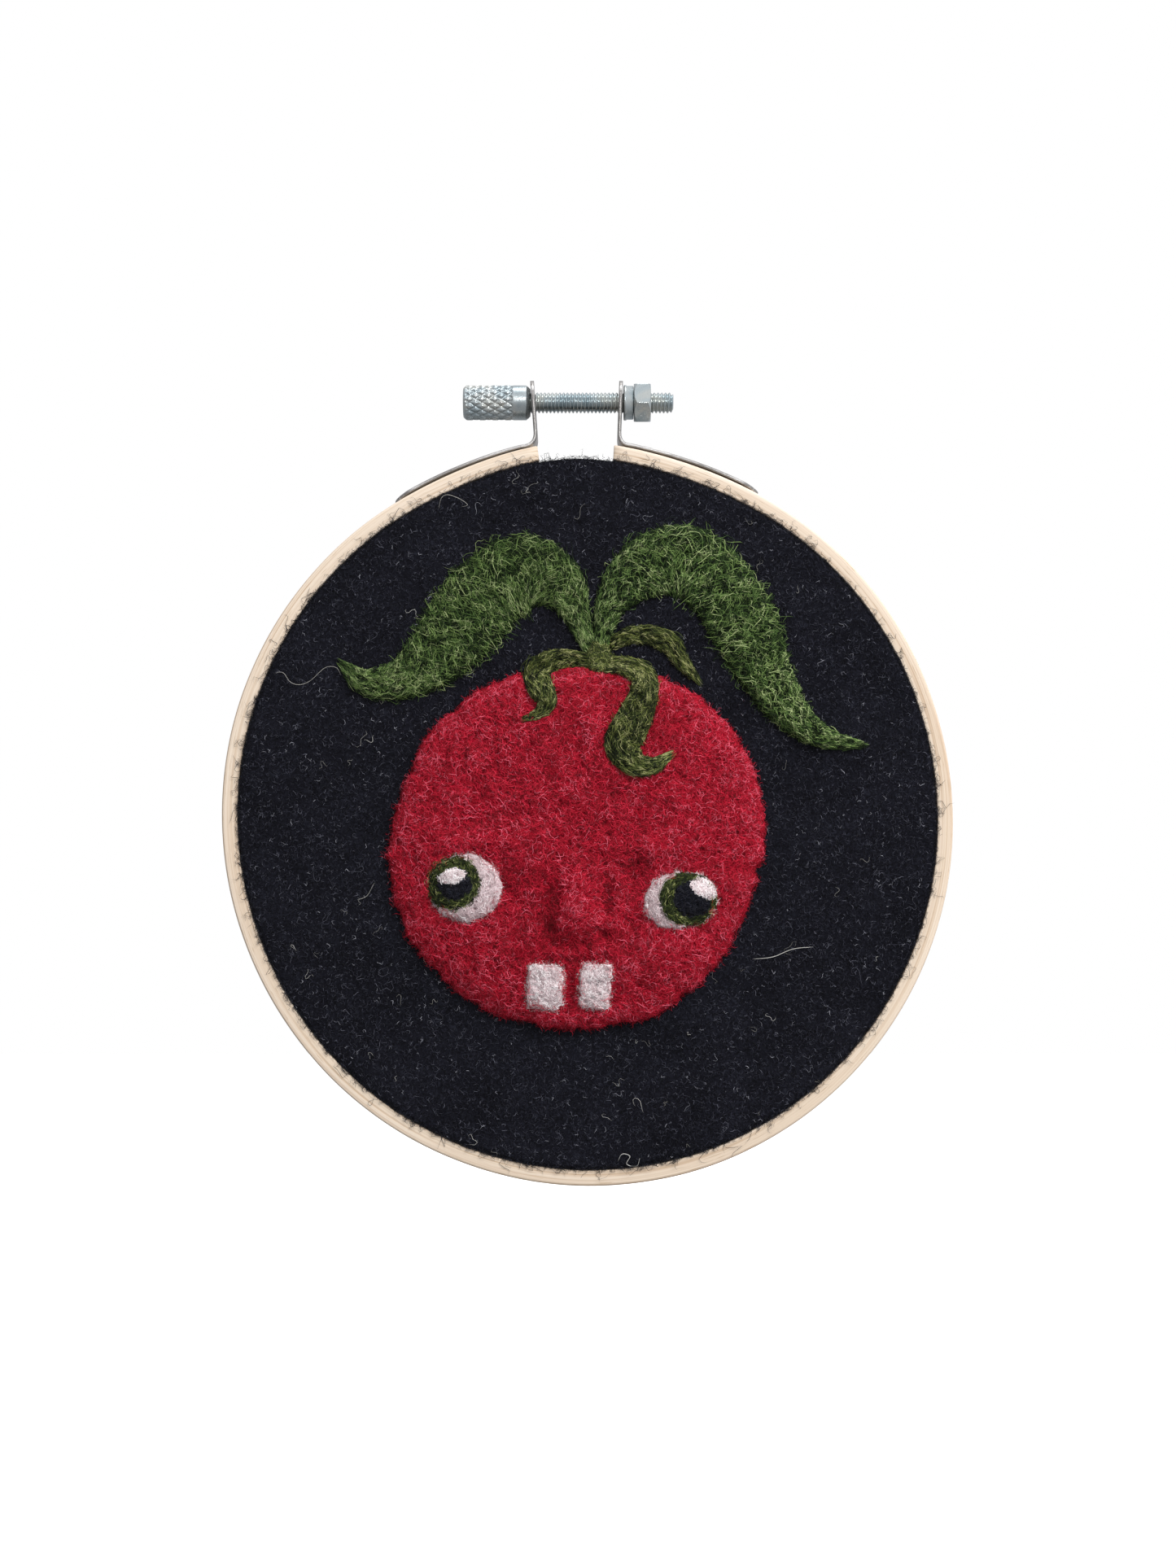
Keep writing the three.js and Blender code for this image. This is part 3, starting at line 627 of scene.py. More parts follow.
def nut_collar():
    """The round collar between the ear and the nut, with a narrow rim."""
    turn = full_turn(96)
    start, end = COLLAR_LOW[0], COLLAR_HIGH[0]
    x = np.array([start, start + 0.1, start + 0.45, start + 0.6, end - 0.1, end, end, start])
    radius = np.array([3.1, 3.25, 3.25, 3.1, 3.1, 3.0, COLLAR_BORE, COLLAR_BORE])
    radius = np.repeat(radius[:, None], len(turn), axis=1)
    turned_piece("nut_collar_ring", x, radius, turn, "hoop_right", "nut_collar", bored=True)


def hex_nut():
    """A hexagon, bevelled at both faces. One corner points to the front and a little down."""
    turn = full_turn(288)
    start, end = NUT_LOW[0], NUT_HIGH[0]
    flat = NUT_ACROSS_FLATS / 2
    corner = flat / np.cos(np.pi / 6)
    sector = (turn + NUT_TURN + np.pi / 6) % (np.pi / 3) - np.pi / 6
    hexagon = flat / np.cos(np.pi / 6 - np.abs(sector))
    depth = np.concatenate([[0, 0.0], np.linspace(0.03, 0.75, 14)])
    cone = corner - 0.62 + depth * 1.1
    cone = np.concatenate([cone, cone[::-1]])[:, None]
    radius = np.minimum(hexagon, cone) - 0.02
    radius[0] = NUT_BORE + 0.15
    radius[-1] = NUT_BORE + 0.15
    x = np.concatenate([start + depth, (end - depth)[::-1], [end - 0.3, start + 0.3]])
    radius = np.concatenate([radius, np.full((2, len(turn)), NUT_BORE)])
    turned_piece("hex_nut_solid", x, radius, turn, "hoop_right", "hex_nut", bored=True)


def rivets():
    """Each rivet's low domed head on its strap and its flush end inside the hoop."""
    for node in ("rivet_left_1", "rivet_left_2", "rivet_right_1", "rivet_right_2"):
        low, high = box(node)
        middle = (low + high) / 2
        centre = np.array([0, 0, HOOP_Z])
        axis = (middle - centre) * [1, 0, 1]
        axis /= np.linalg.norm(axis)
        side = np.array([axis[2], 0, -axis[0]])
        top = HOOP_RADIUS + bulge_at(np.arctan2(axis[0], axis[2])) + CLEARANCE + PLATE_THICKNESS
        bottom = top - STRIP_THICKNESS - 0.7
        height = np.array([bottom, bottom, top - 0.02, top, top + 0.12, top + 0.32, top + 0.44, top + 0.48])
        radius = np.array([0.3, RIVET_SHANK, RIVET_SHANK, RIVET_HEAD, RIVET_HEAD, 0.95, 0.55, 0.15])
        turn = full_turn(32)
        spokes = np.cos(turn)[:, None] * side + np.sin(turn)[:, None] * np.array([0, 1, 0])
        vertices, faces = capped(centre + height[:, None, None] * axis + radius[:, None, None] * spokes)
        body = "hoop_" + node.split("_")[1]
        piece = add_piece(f"{node}_head", vertices, faces, [BRACKET], body, "bracket_steel", [node])
        add_flow(piece, vertices)


# ---------------------------------------------------------------- shapes on the picture

def on_picture(x, z, height):
    return np.stack(np.broadcast_arrays(x, FELT_FRONT - height, HOOP_Z + z), axis=-1)


def ellipse_rim(half_x, half_z, tilt=0.0, power=2.0):
    """The outline of an ellipse, or of a rounded box where power is above 2, as a radius for each angle."""
    def rim(turn):
        a = turn - np.radians(tilt)
        return (np.abs(np.cos(a) / half_x) ** power + np.abs(np.sin(a) / half_z) ** power) ** (-1 / power)
    return rim


def rough_rim(rim, size, depth, seed):
    """An outline with an uneven edge."""
    def rough(turn):
        radius = rim(turn)
        return radius + depth * lumps(radius * np.cos(turn) + 50, radius * np.sin(turn) + 50, size, seed)
    return rough


def round_centre(centre, turn, reach):
    """Places at a reach from a centre, turned from +X towards +Z."""
    return centre[0] + reach * np.cos(turn), centre[1] + reach * np.sin(turn)


def share_of_rim(x, z, centre, rim):
    """How far places are from centre, as a share of the way to the outline."""
    dx, dz = x - centre[0], z - centre[1]
    return np.hypot(dx, dz) / rim(np.arctan2(dz, dx))


PATCH_SINK = 0.35  # how far a patch goes into what it lies on


@dataclass
class Patch:
    """A mound of wool with a star-shaped outline, on the surface that below gives."""

    centre: tuple
    rim: object
    thickness: float
    below: object
    edge: float
    roughness: float
    seed: int

    def height(self, x, z):
        """The height of its top, or of what lies below outside it."""
        share = share_of_rim(x, z, self.centre, self.rim)
        crown = np.maximum(1 - np.minimum(share, 1) ** self.edge, 0) ** (1 / self.edge)
        uneven = self.roughness * (lumps(x, z, 1.3, self.seed) + 0.6 * lumps(x, z, 0.6, self.seed + 1))
        return self.below(x, z) + np.where(share < 1, self.thickness * crown + uneven * np.sqrt(crown), 0)

    def mesh(self, rings, around):
        turn = full_turn(around)
        share = np.linspace(0, 1, rings + 1)[1:, None] ** 0.75
        x, z = round_centre(self.centre, turn, share * self.rim(turn))
        top = on_picture(x, z, self.height(x, z))
        bottom = on_picture(x, z, self.below(x, z) - PATCH_SINK)[::-4]
        return capped(np.concatenate([top, bottom]))


def add_patch(node, patch, material, slot, rings=30, around=120):
    add_piece(f"{node}_felt", *patch.mesh(rings, around), [material], "picture", slot, [node])


# The felt ground

def ground_height(x, z):
    """The felt ground's front: nearly flat, slightly uneven, and rolled back at its rim."""
    radius = np.hypot(x, z) - bulge_at(np.arctan2(x, z))
    into = np.clip((radius - (FELT_RADIUS - FELT_ROLL)) / FELT_ROLL, 0, 1)
    rolled = FELT_ROLL * (1 - np.sqrt(1 - 0.98 * into**2))
    return 0.12 * lumps(x, z, 3.1, 11) + 0.08 * lumps(x, z, 1.1, 12) - rolled


def ground_felt():
    """The felt, from its middle out over the inner hoop and back between the hoops, with its inside face."""
    trimmed = FELT_HIGH[1] - FELT_FRONT
    turn = full_turn(300)
    bulge = bulge_at(turn)
    rows = []

    def add_row(radius, height, share=None):
        """One ring of the felt. share is how far it takes on the hoops' bulge."""
        reach = radius + bulge * (radius / FELT_RADIUS if share is None else share)
        x, z = reach * np.sin(turn), reach * np.cos(turn)
        rows.append(on_picture(x, z, height(x, z)))

    roll = FELT_RADIUS - FELT_ROLL * (1 - np.linspace(0, 1, 8) ** 0.6)
    for radius in np.concatenate([np.linspace(0.7, FELT_RADIUS - 1, 74), roll]):
        add_row(radius, ground_height)
    ragged = 0.12 * lumps(turn * 60, 0 * turn, 1.5, 17)
    for back in np.linspace(1.4, trimmed, 9):
        add_row(FELT_RADIUS, lambda x, z: -back + ragged * (back > trimmed - 1), 1)
    inner = FELT_RADIUS - FELT_AT_RIM
    for back in (trimmed, (trimmed + FELT_THICKNESS) / 2, FELT_THICKNESS + 0.3):
        add_row(inner, lambda x, z: -back, 1)
    for radius in np.linspace(inner - 0.4, 0.7, 60):
        add_row(radius, lambda x, z: -FELT_THICKNESS + 0.12 * lumps(x, z, 2.3, 13))
    vertices, faces = capped(np.array(rows))
    nodes = ["ground_felt"]
    piece = add_piece("black_felt_ground", vertices, faces, [BLACK_FELT], "picture", "black_felt", nodes)


# The tomato

TOMATO_CENTRE = (-1.7, -5.2)
TOMATO_HEIGHT = 6.0
TOMATO_HALF = 42  # half of a square round the origin that holds the tomato
# The outline's radius every 20 degrees, from +X round through +Z
TOMATO_RADII = [
    33.4, 34.5, 34.9, 34.0, 33.0, 32.4, 33.0, 33.3, 33.4,
    34.1, 34.5, 34.3, 33.8, 33.0, 33.1, 33.4, 32.9, 32.2,
]

# Raised and hollow places: (x, z, half width, half height, how far it is raised)
RELIEF = [
    (-1.9, -17.1, 3.6, 3.9, 1.9),  # nose tip
    (-2.4, -11.5, 2.6, 4.4, 0.9),  # bridge
    (1.8, -19.5, 2.0, 1.8, 0.7),  # right nostril wing
    (-5.0, -19.7, 1.9, 1.6, 0.5),  # left nostril wing
    (-6.8, -20.6, 1.6, 2.4, -1.3),  # nostrils
    (3.0, -21.4, 1.5, 1.1, -1.0),
    (-6.6, -15.2, 1.6, 3.6, -0.9),  # creases beside the nose
    (3.6, -15.2, 1.2, 3.2, -0.9),
    (-2.6, -23.2, 3.0, 1.1, -0.6),  # under the nose
    (-21.0, -4.6, 7.5, 2.2, 0.9),  # left brow
    (11.6, -6.2, 4.5, 2.4, 1.0),  # right brow
    (8.6, -9.7, 2.0, 3.0, -0.9),  # hollow by the right eye
    (-14.0, -11.9, 1.6, 4.4, -0.6),  # hollow by the left eye
    (-18.0, -24.8, 7.0, 5.5, 0.9),  # cheeks
    (13.5, -25.3, 7.5, 6.0, 0.9),
    (-3.2, -25.9, 8.0, 0.9, -0.4),  # lip line over the teeth
    (-3.1, -30.8, 0.9, 4.0, -0.7),  # between the teeth
    (-3.0, -36.8, 8.0, 1.6, 0.5),  # chin
]


def tomato_rim(turn):
    radius = closed_curve(TOMATO_RADII, turn)
    x, z = radius * np.cos(turn), radius * np.sin(turn)
    return radius + 0.45 * lumps(x + 90, z + 90, 2.6, 21) + 0.25 * lumps(x + 90, z + 90, 1.1, 22)


def face_relief(x, z, weigh, sharpness=1.0):
    """The sum of the face's raised and hollow places, each weighed by how far it is raised."""
    total = np.zeros_like(x)
    for centre_x, centre_z, half_x, half_z, raised in RELIEF:
        away = ((x - centre_x) / half_x) ** 2 + ((z - centre_z) / half_z) ** 2
        total = total + weigh(raised) * np.exp(-sharpness * away)
    return total


def tomato_share(x, z):
    return share_of_rim(x, z, TOMATO_CENTRE, tomato_rim)


def tomato_height(x, z):
    """The tomato's front over the felt ground: a dome with the face's relief and the needle's marks."""
    dome = np.maximum(1 - np.minimum(tomato_share(x, z), 1) ** 2.5, 0) ** (1 / 2.5)
    uneven = 0.35 * lumps(x, z, 4.0, 23) + 0.2 * lumps(x, z, 1.7, 24)
    marks = 0.5 * needle_marks(x, z, 1.9, 0.36, 25)
    detail = face_relief(x, z, lambda raised: raised) + uneven - marks
    return TOMATO_HEIGHT * dome + detail * smooth(np.clip(dome * 1.6, 0, 1))


def crease_painted_shade(x, z):
    """Painted shade in the face's creases and painted light on what stands out."""
    return face_relief(x, z, lambda raised: raised * (0.28 if raised < 0 else 0.04), 0.8)


def hollow_painted_shade(x, z):
    """Painted light on the tomato's ridges and painted shade in its hollows, from its height against the
    height round about.
    """
    def mean_height(reach, ways):
        return sum(tomato_height(x + reach * a, z + reach * b) for a, b in ways) / 4
    near = mean_height(0.7, ((1, 0), (-1, 0), (0, 1), (0, -1)))
    wide = mean_height(2.1, ((1, 1), (-1, 1), (-1, -1), (1, -1)))
    here = tomato_height(x, z)
    return np.clip(0.5 * (here - near) + 0.175 * (here - wide), -0.45, 0.45)


def on_ground(x, z):
    """The height of whatever is under a leaf: the felt or the tomato."""
    return np.maximum(tomato_height(x, z) * (tomato_share(x, z) < 1), 0)


def tomato():
    turn = full_turn(420)
    share = (1 - (1 - np.linspace(0, 1, 151)[1:]) ** 1.5)[:, None]
    x, z = round_centre(TOMATO_CENTRE, turn, share * tomato_rim(turn))
    front = on_picture(x, z, tomato_height(x, z))
    back = on_picture(x, z, -0.5)[::-10]
    vertices, faces = capped(np.concatenate([front, back]))
    add_piece("tomato", vertices, faces, [RED_FELT], "picture", "red_wool", ["tomato_body", "nose"])


# The eyes and teeth

def eye_patches(ball, iris, pupil, glint, seed):
    """An eye's four patches, each on the one before, from their (x, z, half width, half height, tilt)."""
    builds = {  # with each one's thickness and roughness
        "eyeball": (ball, 1.9, 0.04),
        "iris": (iris, 0.45, 0.1),
        "pupil": (pupil, 0.35, 0.08),
        "glint": (glint, 0.16, 0.04),
    }
    patches, below = {}, tomato_height
    for number, (kind, (sizes, thickness, roughness)) in enumerate(builds.items(), seed + 1):
        x, z, half_x, half_z, tilt = sizes
        rim = rough_rim(ellipse_rim(half_x, half_z, tilt), 1.1, 0.22, number)
        patches[kind] = Patch((x, z), rim, thickness, below, 2.0, roughness, number)
        below = patches[kind].height
    return patches


EYES = {
    "left": eye_patches(
        (-21.8, -13.1, 6.5, 6.0, 0), (-24.0, -12.3, 4.9, 4.9, 0), (-23.6, -12.5, 3.1, 2.9, 0),
        (-24.1, -11.1, 2.6, 1.25, 12), 300,
    ),
    "right": eye_patches(
        (16.6, -15.3, 6.7, 5.1, 10), (18.0, -15.1, 5.2, 4.9, 0), (18.7, -15.1, 3.4, 3.3, 0),
        (20.8, -13.2, 2.6, 1.6, -32), 340,
    ),
}


def tooth_patch(x, z, half_x, half_z, seed):
    rim = rough_rim(ellipse_rim(half_x, half_z, -3, 6.0), 1.1, 0.26, seed)
    return Patch((x, z), rim, 1.1, tomato_height, 3.2, 0.12, seed)


TEETH = {"left": tooth_patch(-7.6, -30.7, 3.05, 4.05, 380), "right": tooth_patch(1.4, -30.6, 2.7, 4.0, 390)}
FACE_PATCHES = [EYES["left"]["eyeball"], EYES["right"]["eyeball"], TEETH["left"], TEETH["right"]]


# The leaves

class Leaf:
    """A tongue of wool along a middle line of (x, z, half width), with strands that follow it."""

    def __init__(self, line, thickness, seed):
        self.places = open_curve(line, 90)
        self.thickness = thickness
        self.seed = seed
        along = np.gradient(self.places[:, :2], axis=0)
        along /= np.linalg.norm(along, axis=1)[:, None]
        self.side = np.stack([-along[:, 1], along[:, 0]], axis=-1)
        step = np.linalg.norm(np.diff(self.places[:, :2], axis=0), axis=1)
        self.along = np.concatenate([[0], np.cumsum(step)])
        self.length = self.along[-1]

    def at(self, along, across):
        """The place along the leaf in mm and across it from -1 to 1, as x, z and the half width there."""
        x, z, half = (np.interp(along, self.along, self.places[:, i]) for i in (0, 1, 2))
        side_x, side_z = (np.interp(along, self.along, self.side[:, i]) for i in (0, 1))
        half = np.maximum(half, 0.3)
        return x + side_x * across * half, z + side_z * across * half, half

    def height(self, along, across):
        """How high the leaf's top is over the felt."""
        x, z, half = self.at(along, across)
        crown = np.maximum(1 - np.abs(across) ** 2.4, 0) ** 0.5
        end = smooth(np.clip(np.minimum(along, self.length - along) / 3.0, 0, 1)) * 0.7 + 0.3
        thick = self.thickness * np.minimum(1, half / 2.2) * end
        uneven = 0.3 * lumps(x, z, 2.6, self.seed) + self.ridge(along, across * half)
        uneven = uneven - 0.5 * needle_marks(x, z, 1.25, 0.3, self.seed + 2)
        return on_ground(x, z) + thick * crown + uneven * crown

    def ridge(self, along, across):
        """Wool drawn out into uneven cords along the leaf."""
        return 0.28 * lumps(along * 0.4, across, 0.7, self.seed + 1)

    def mesh(self):
        turn = full_turn(56)
        along = np.linspace(0.05, self.length - 0.05, 130)[:, None]
        edge = 1 + 0.05 * lumps(along, 0 * along, 1.4, self.seed + 3)
        across = np.cos(turn) * edge
        x, z, _ = self.at(along, across)
        top = self.height(along, np.clip(across, -1, 1))
        low = on_ground(x, z) - 0.4
        height = np.where(np.sin(turn) >= -0.01, top, low)
        return capped(on_picture(x, z, height))


LEFT_LEAF_LINE = [
    (1.2, 29.3, 1.3), (-0.6, 33.1, 1.7), (-2.2, 37.3, 2.7), (-5.2, 42.3, 4.9), (-11.0, 44.5, 6.9),
    (-17.4, 41.4, 7.2), (-22.3, 35.5, 7.1), (-27.4, 29.5, 5.8), (-33.9, 24.9, 3.7), (-40.1, 24.4, 2.4),
    (-45.0, 27.9, 0.6),
]
RIGHT_LEAF_LINE = [
    (2.4, 29.3, 1.2), (2.9, 33.7, 1.7), (4.4, 38.7, 2.9), (7.8, 43.2, 4.8), (13.1, 46.3, 6.1),
    (18.9, 46.2, 6.7), (24.5, 41.4, 6.4), (29.1, 33.6, 6.2), (32.5, 25.6, 4.8), (37.3, 18.3, 3.3),
    (43.1, 14.2, 2.0), (50.2, 12.9, 0.6),
]
SMALL_LEAF_LINE = [
    (4.0, 31.3, 1.2), (8.0, 32.9, 1.6), (11.8, 32.9, 1.9), (15.2, 31.3, 2.0), (17.0, 28.3, 1.5),
    (20.4, 24.3, 0.5),
]
LEFT_SEPAL_LINE = [
    (1.6, 27.9, 1.2), (-2.4, 28.6, 1.6), (-6.2, 28.3, 2.0), (-9.0, 26.3, 2.5), (-8.6, 23.3, 2.4),
    (-7.3, 20.5, 1.9), (-8.7, 18.3, 1.1), (-11.4, 17.2, 0.5),
]
RIGHT_SEPAL_LINE = [
    (2.6, 27.1, 1.3), (6.2, 27.3, 1.9), (9.8, 25.5, 2.4), (10.2, 22.1, 2.6), (8.4, 17.3, 3.2),
    (6.4, 12.7, 3.4), (8.2, 9.3, 2.4), (11.5, 8.7, 1.6), (15.2, 10.9, 0.6),
]
# Each leaf with its number of strands, felt, threads and slot
LEAVES = {
    "leaf_left": (Leaf(LEFT_LEAF_LINE, 1.9, 400), 8200, GREEN_FELT, GREEN_THREADS, "leaf_wool"),
    "leaf_right": (Leaf(RIGHT_LEAF_LINE, 1.9, 410), 8300, GREEN_FELT, GREEN_THREADS, "leaf_wool"),
    "leaf_small": (Leaf(SMALL_LEAF_LINE, 1.3, 420), 2000, OLIVE_FELT, OLIVE_THREADS, "leaf_wool"),
    "sepal_left": (Leaf(LEFT_SEPAL_LINE, 1.5, 430), 2700, OLIVE_FELT, OLIVE_THREADS, "olive_wool"),
    "sepal_right": (Leaf(RIGHT_SEPAL_LINE, 1.6, 440), 4200, OLIVE_FELT, OLIVE_THREADS, "olive_wool"),
}
CROWN_RIM = rough_rim(ellipse_rim(2.6, 3.2, -10), 1.2, 0.4, 451)
CROWN = Patch((2.0, 29.1), CROWN_RIM, 1.7, on_ground, 2.2, 0.15, 450)


# ---------------------------------------------------------------- strands of wool

def strand_mesh(lines, radius):
    """Closed three-sided threads round lines, an (n, k, 3) array. Each comes to a point at both ends."""
    count, points, _ = lines.shape
    along = np.gradient(lines, axis=1)
    along /= np.maximum(np.linalg.norm(along, axis=2, keepdims=True), 1e-9)
    side = np.cross(along, [0.0, 1.0, 0.05])
    side /= np.maximum(np.linalg.norm(side, axis=2, keepdims=True), 1e-9)
    up = np.cross(side, along)
    thick = radius[:, None, None] * (np.sin(np.pi * np.linspace(0, 1, points)) ** 0.4)[None, :, None]
    corners = []
    for third in range(3):
        angle = TURN * third / 3
        corners.append(lines + thick * (np.cos(angle) * side + np.sin(angle) * up))
    rings = np.stack(corners, axis=2)[:, 1:-1].reshape(count, -1, 3)
    vertices = np.concatenate([lines[:, :1], rings, lines[:, -1:]], axis=1)
    per_strand = vertices.shape[1]
    last = per_strand - 1
    triangles, quads = [], []
    for third in range(3):
        after = (third + 1) % 3
        triangles.append((0, 1 + after, 1 + third))
        triangles.append((last, last - 3 + third, last - 3 + after))
        for i in range(points - 3):
            base = 1 + 3 * i
            quads.append((base + third, base + after, base + after + 3, base + third + 3))
    offsets = (np.arange(count) * per_strand)[:, None, None]
    triangles = (np.array(triangles)[None] + offsets).reshape(-1, 3)
    quads = (np.array(quads)[None] + offsets).reshape(-1, 4)
    return vertices.reshape(-1, 3), triangles, quads


def add_strands(name, lines, radius, materials, weights, slot, rng, tone=0.0):
    """Strands as one piece. Each takes a material, dark to light, by the weights and its place's tone, which,
    where given, holds painted shade and painted light as well as random variation.
    """
    vertices, triangles, quads = strand_mesh(lines, radius)
    drawn = np.clip(rng.uniform(0, 1, len(lines)) + tone, 0, 0.999)
    chosen = np.searchsorted(np.cumsum(weights) / np.sum(weights), drawn, side="right")
    per_strand = (len(triangles) // len(lines), len(quads) // len(lines))
    shades = np.concatenate([np.repeat(chosen, per_strand[0]), np.repeat(chosen, per_strand[1])])
    add_piece(name, vertices, [triangles, quads], materials, "picture", slot, shades=shades)


def curved_paths(x, z, heading, length, bend, points, rng, wobble):
    """Wavy paths over the picture, centred on their places, as x, z and the share along, each (n, points)."""
    t = np.linspace(0, 1, points)[None]
    count = len(x)
    phase, waves = rng.uniform(0, TURN, (count, 1)), rng.uniform(0.8, 2.0, (count, 1))
    turn = heading[:, None] + bend[:, None] * (t - 0.5) + wobble * np.sin(TURN * waves * t + phase)
    step = length[:, None] / (points - 1)
    dx, dz = np.cos(turn) * step, np.sin(turn) * step
    px, pz = np.cumsum(dx, axis=1), np.cumsum(dz, axis=1)
    px = x[:, None] + px - px.mean(axis=1, keepdims=True)
    pz = z[:, None] + pz - pz.mean(axis=1, keepdims=True)
    return px, pz, np.broadcast_to(t, px.shape)


def surface_strands(x, z, height, heading, length, radius, rng, lift, bend=1.6, wobble=0.5):
    """Strands that lie on a surface: their ends are in it and their middles arch over it."""
    count = len(x)
    px, pz, t = curved_paths(x, z, heading, length, rng.normal(0, bend, count), 6, rng, wobble)
    arch = rng.uniform(0.15, 1, count)[:, None] * lift
    py = height(px, pz) - 0.06 + (arch + radius[:, None]) * np.sin(np.pi * t) ** 0.7
    return on_picture(px, pz, py)


def standing_hairs(x, z, height, heading, length, rise, rng, points=6, bend=1.8, wobble=0.6):
    """Loose hairs: rooted in a surface, they lean over and rise to their free ends."""
    count = len(x)
    px, pz, t = curved_paths(x, z, heading, length, rng.normal(0, bend, count), points, rng, wobble)
    px += (x[:, None] - px[:, :1]) * (1 - t)
    pz += (z[:, None] - pz[:, :1]) * (1 - t)
    return on_picture(px, pz, height(px, pz) - 0.1 + rise[:, None] * t**0.8)


def add_hairs(name, x, z, height, heading, spans, threads, weights, slot, rng, **shape):
    """Standing hairs as one piece. spans gives the ranges of their length, their rise and their radius."""
    length, rise = (rng.uniform(*span, len(x)) for span in spans[:2])
    lines = standing_hairs(x, z, height, heading, length, rise, rng, **shape)
    add_strands(name, lines, rng.uniform(*spans[2], len(x)), threads, weights, slot, rng)


def scattered(count, half, accept, rng):
    """count random places within half of the centre each way for which accept is true."""
    found = np.zeros((0, 2))
    while len(found) < count:
        tries = rng.uniform(-half, half, (count * 2, 2))
        found = np.concatenate([found, tries[accept(tries[:, 0], tries[:, 1])]])
    return found[:count, 0], found[:count, 1]


def leaf_cover(x, z, margin=0.85):
    """True where a leaf or sepal lies."""
    covered = np.zeros(np.shape(x), bool)
    for leaf, *_ in LEAVES.values():
        for px, pz, half in leaf.places[::3]:
            covered |= np.hypot(x - px, z - pz) < half * margin
    return covered


def open_felt(x, z):
    """True where the black felt shows."""
    on_felt = (np.hypot(x, z) - bulge_at(np.arctan2(x, z))) / FELT_RADIUS < 1.0
    return on_felt & (tomato_share(x, z) > 0.99) & ~leaf_cover(x, z)


def felt_strands():
    """The felt's nap: near-black curls with grey and whitish flecks among them."""
    threads, weights = BLACK_THREADS + FLECK_THREADS, [4, 5, 6, 5.2, 2.0, 0.4]
    spans = (0.8, 2.8), (0.05, 0.5), (0.025, 0.055)
    count = 9500  # in each of three pieces
    for part in range(3):
        rng = np.random.default_rng(500 + part)
        x, z = scattered(count, FELT_RADIUS + BULGE + FLARE, open_felt, rng)
        name, heading = f"felt_nap_{part + 1}", rng.uniform(0, TURN, count)
        add_hairs(name, x, z, ground_height, heading, spans, threads, weights, "black_felt", rng, points=5)


def tomato_bare(x, z):
    """True where the tomato isn't under an eye or a tooth."""
    shown = tomato_share(x, z) < 1.0
    for cover in FACE_PATCHES:
        shown &= share_of_rim(x, z, cover.centre, cover.rim) >= 1.02
    return shown


def tomato_strands():
    """Crimson strands matted over the tomato."""
    count = 8300  # in each of four pieces
    for part in range(4):
        rng = np.random.default_rng(520 + part)
        x, z = scattered(count, TOMATO_HALF, tomato_bare, rng)
        swirl = 2.2 * lumps(x, z, 5.5, 31)
        heading = rng.normal(0.3, 0.9, count) + swirl
        length = rng.uniform(1.2, 4.0, count)
        radius = rng.uniform(0.025, 0.065, count)
        lines = surface_strands(x, z, tomato_height, heading, length, radius, rng, 0.4, bend=2.4, wobble=0.8)
        # tone: painted shade in hollows and creases and painted light on ridges and raised places, with some
        # random variation
        tone = 0.7 * hollow_painted_shade(x, z) + crease_painted_shade(x, z) + 0.06 * lumps(x, z, 3.0, 32)
        name = f"tomato_strands_{part + 1}"
        add_strands(name, lines, radius, RED_THREADS, [2, 3, 4, 3, 0.9], "red_wool", rng, tone)


def tomato_hairs():
    """Loose ends round the tomato's edge, and paler hairs that stand off its face."""
    rng = np.random.default_rng(530)
    count = 3600
    turn = rng.uniform(0, TURN, count)
    x, z = round_centre(TOMATO_CENTRE, turn, tomato_rim(turn) * rng.uniform(0.955, 1.0, count))
    heading = turn + rng.normal(0, 0.9, count)
    spans, weights = ((0.5, 1.5), (0, 0.6), (0.03, 0.055)), [3, 3, 3, 2, 1]
    add_hairs("tomato_edge_hairs", x, z, tomato_height, heading, spans, RED_THREADS, weights, "red_wool", rng)

    count = 2600
    x, z = scattered(count, TOMATO_HALF, tomato_bare, rng)
    heading = rng.uniform(0, TURN, count)
    spans, weights = ((1.0, 3.2), (0.3, 1.1), (0.022, 0.04)), [0, 1, 2, 3, 3]
    name = "tomato_flyaway_hairs"
    add_hairs(name, x, z, tomato_height, heading, spans, RED_THREADS, weights, "red_wool", rng)


def patch_strands(node, patch, count, length, threads, weights, slot, seed, winding=False, spread=1.05):
    """Short strands matted over a patch. A winding patch's strands go round its centre."""
    rng = np.random.default_rng(seed)
    turn = rng.uniform(0, TURN, count)
    reach = patch.rim(turn) * spread * np.sqrt(rng.uniform(0, 1, count))
    x, z = round_centre(patch.centre, turn, reach)
    heading = turn + np.pi / 2 + rng.normal(0, 0.45, count) if winding else rng.uniform(0, TURN, count)
    radius = rng.uniform(0.03, 0.07, count)
    span = rng.uniform(0.5, 1.2, count) * length
    lines = surface_strands(x, z, patch.height, heading, span, radius, rng, 0.14)
    add_strands(f"{node}_strands", lines, radius, threads, weights, slot, rng)


def crossing_hairs():
    """Thin red hairs that lie across the edges of the eyes and teeth."""
    rng = np.random.default_rng(598)
    count = 90  # on each
    lines, radii = [], []
    for patch in FACE_PATCHES:
        turn = rng.uniform(0, TURN, count)
        x, z = round_centre(patch.centre, turn, patch.rim(turn) * rng.uniform(0.85, 1.08, count))
        heading = turn + np.pi / 2 + rng.normal(0, 0.6, count)
        length, radius = rng.uniform(1.2, 3.6, count), rng.uniform(0.02, 0.035, count)
        lines.append(surface_strands(x, z, patch.height, heading, length, radius, rng, 0.5, bend=1.2))
        radii.append(radius)
    lines, radii = np.concatenate(lines), np.concatenate(radii)
    add_strands("face_crossing_hairs", lines, radii, RED_THREADS, [2, 3, 3, 3, 2], "red_wool", rng)


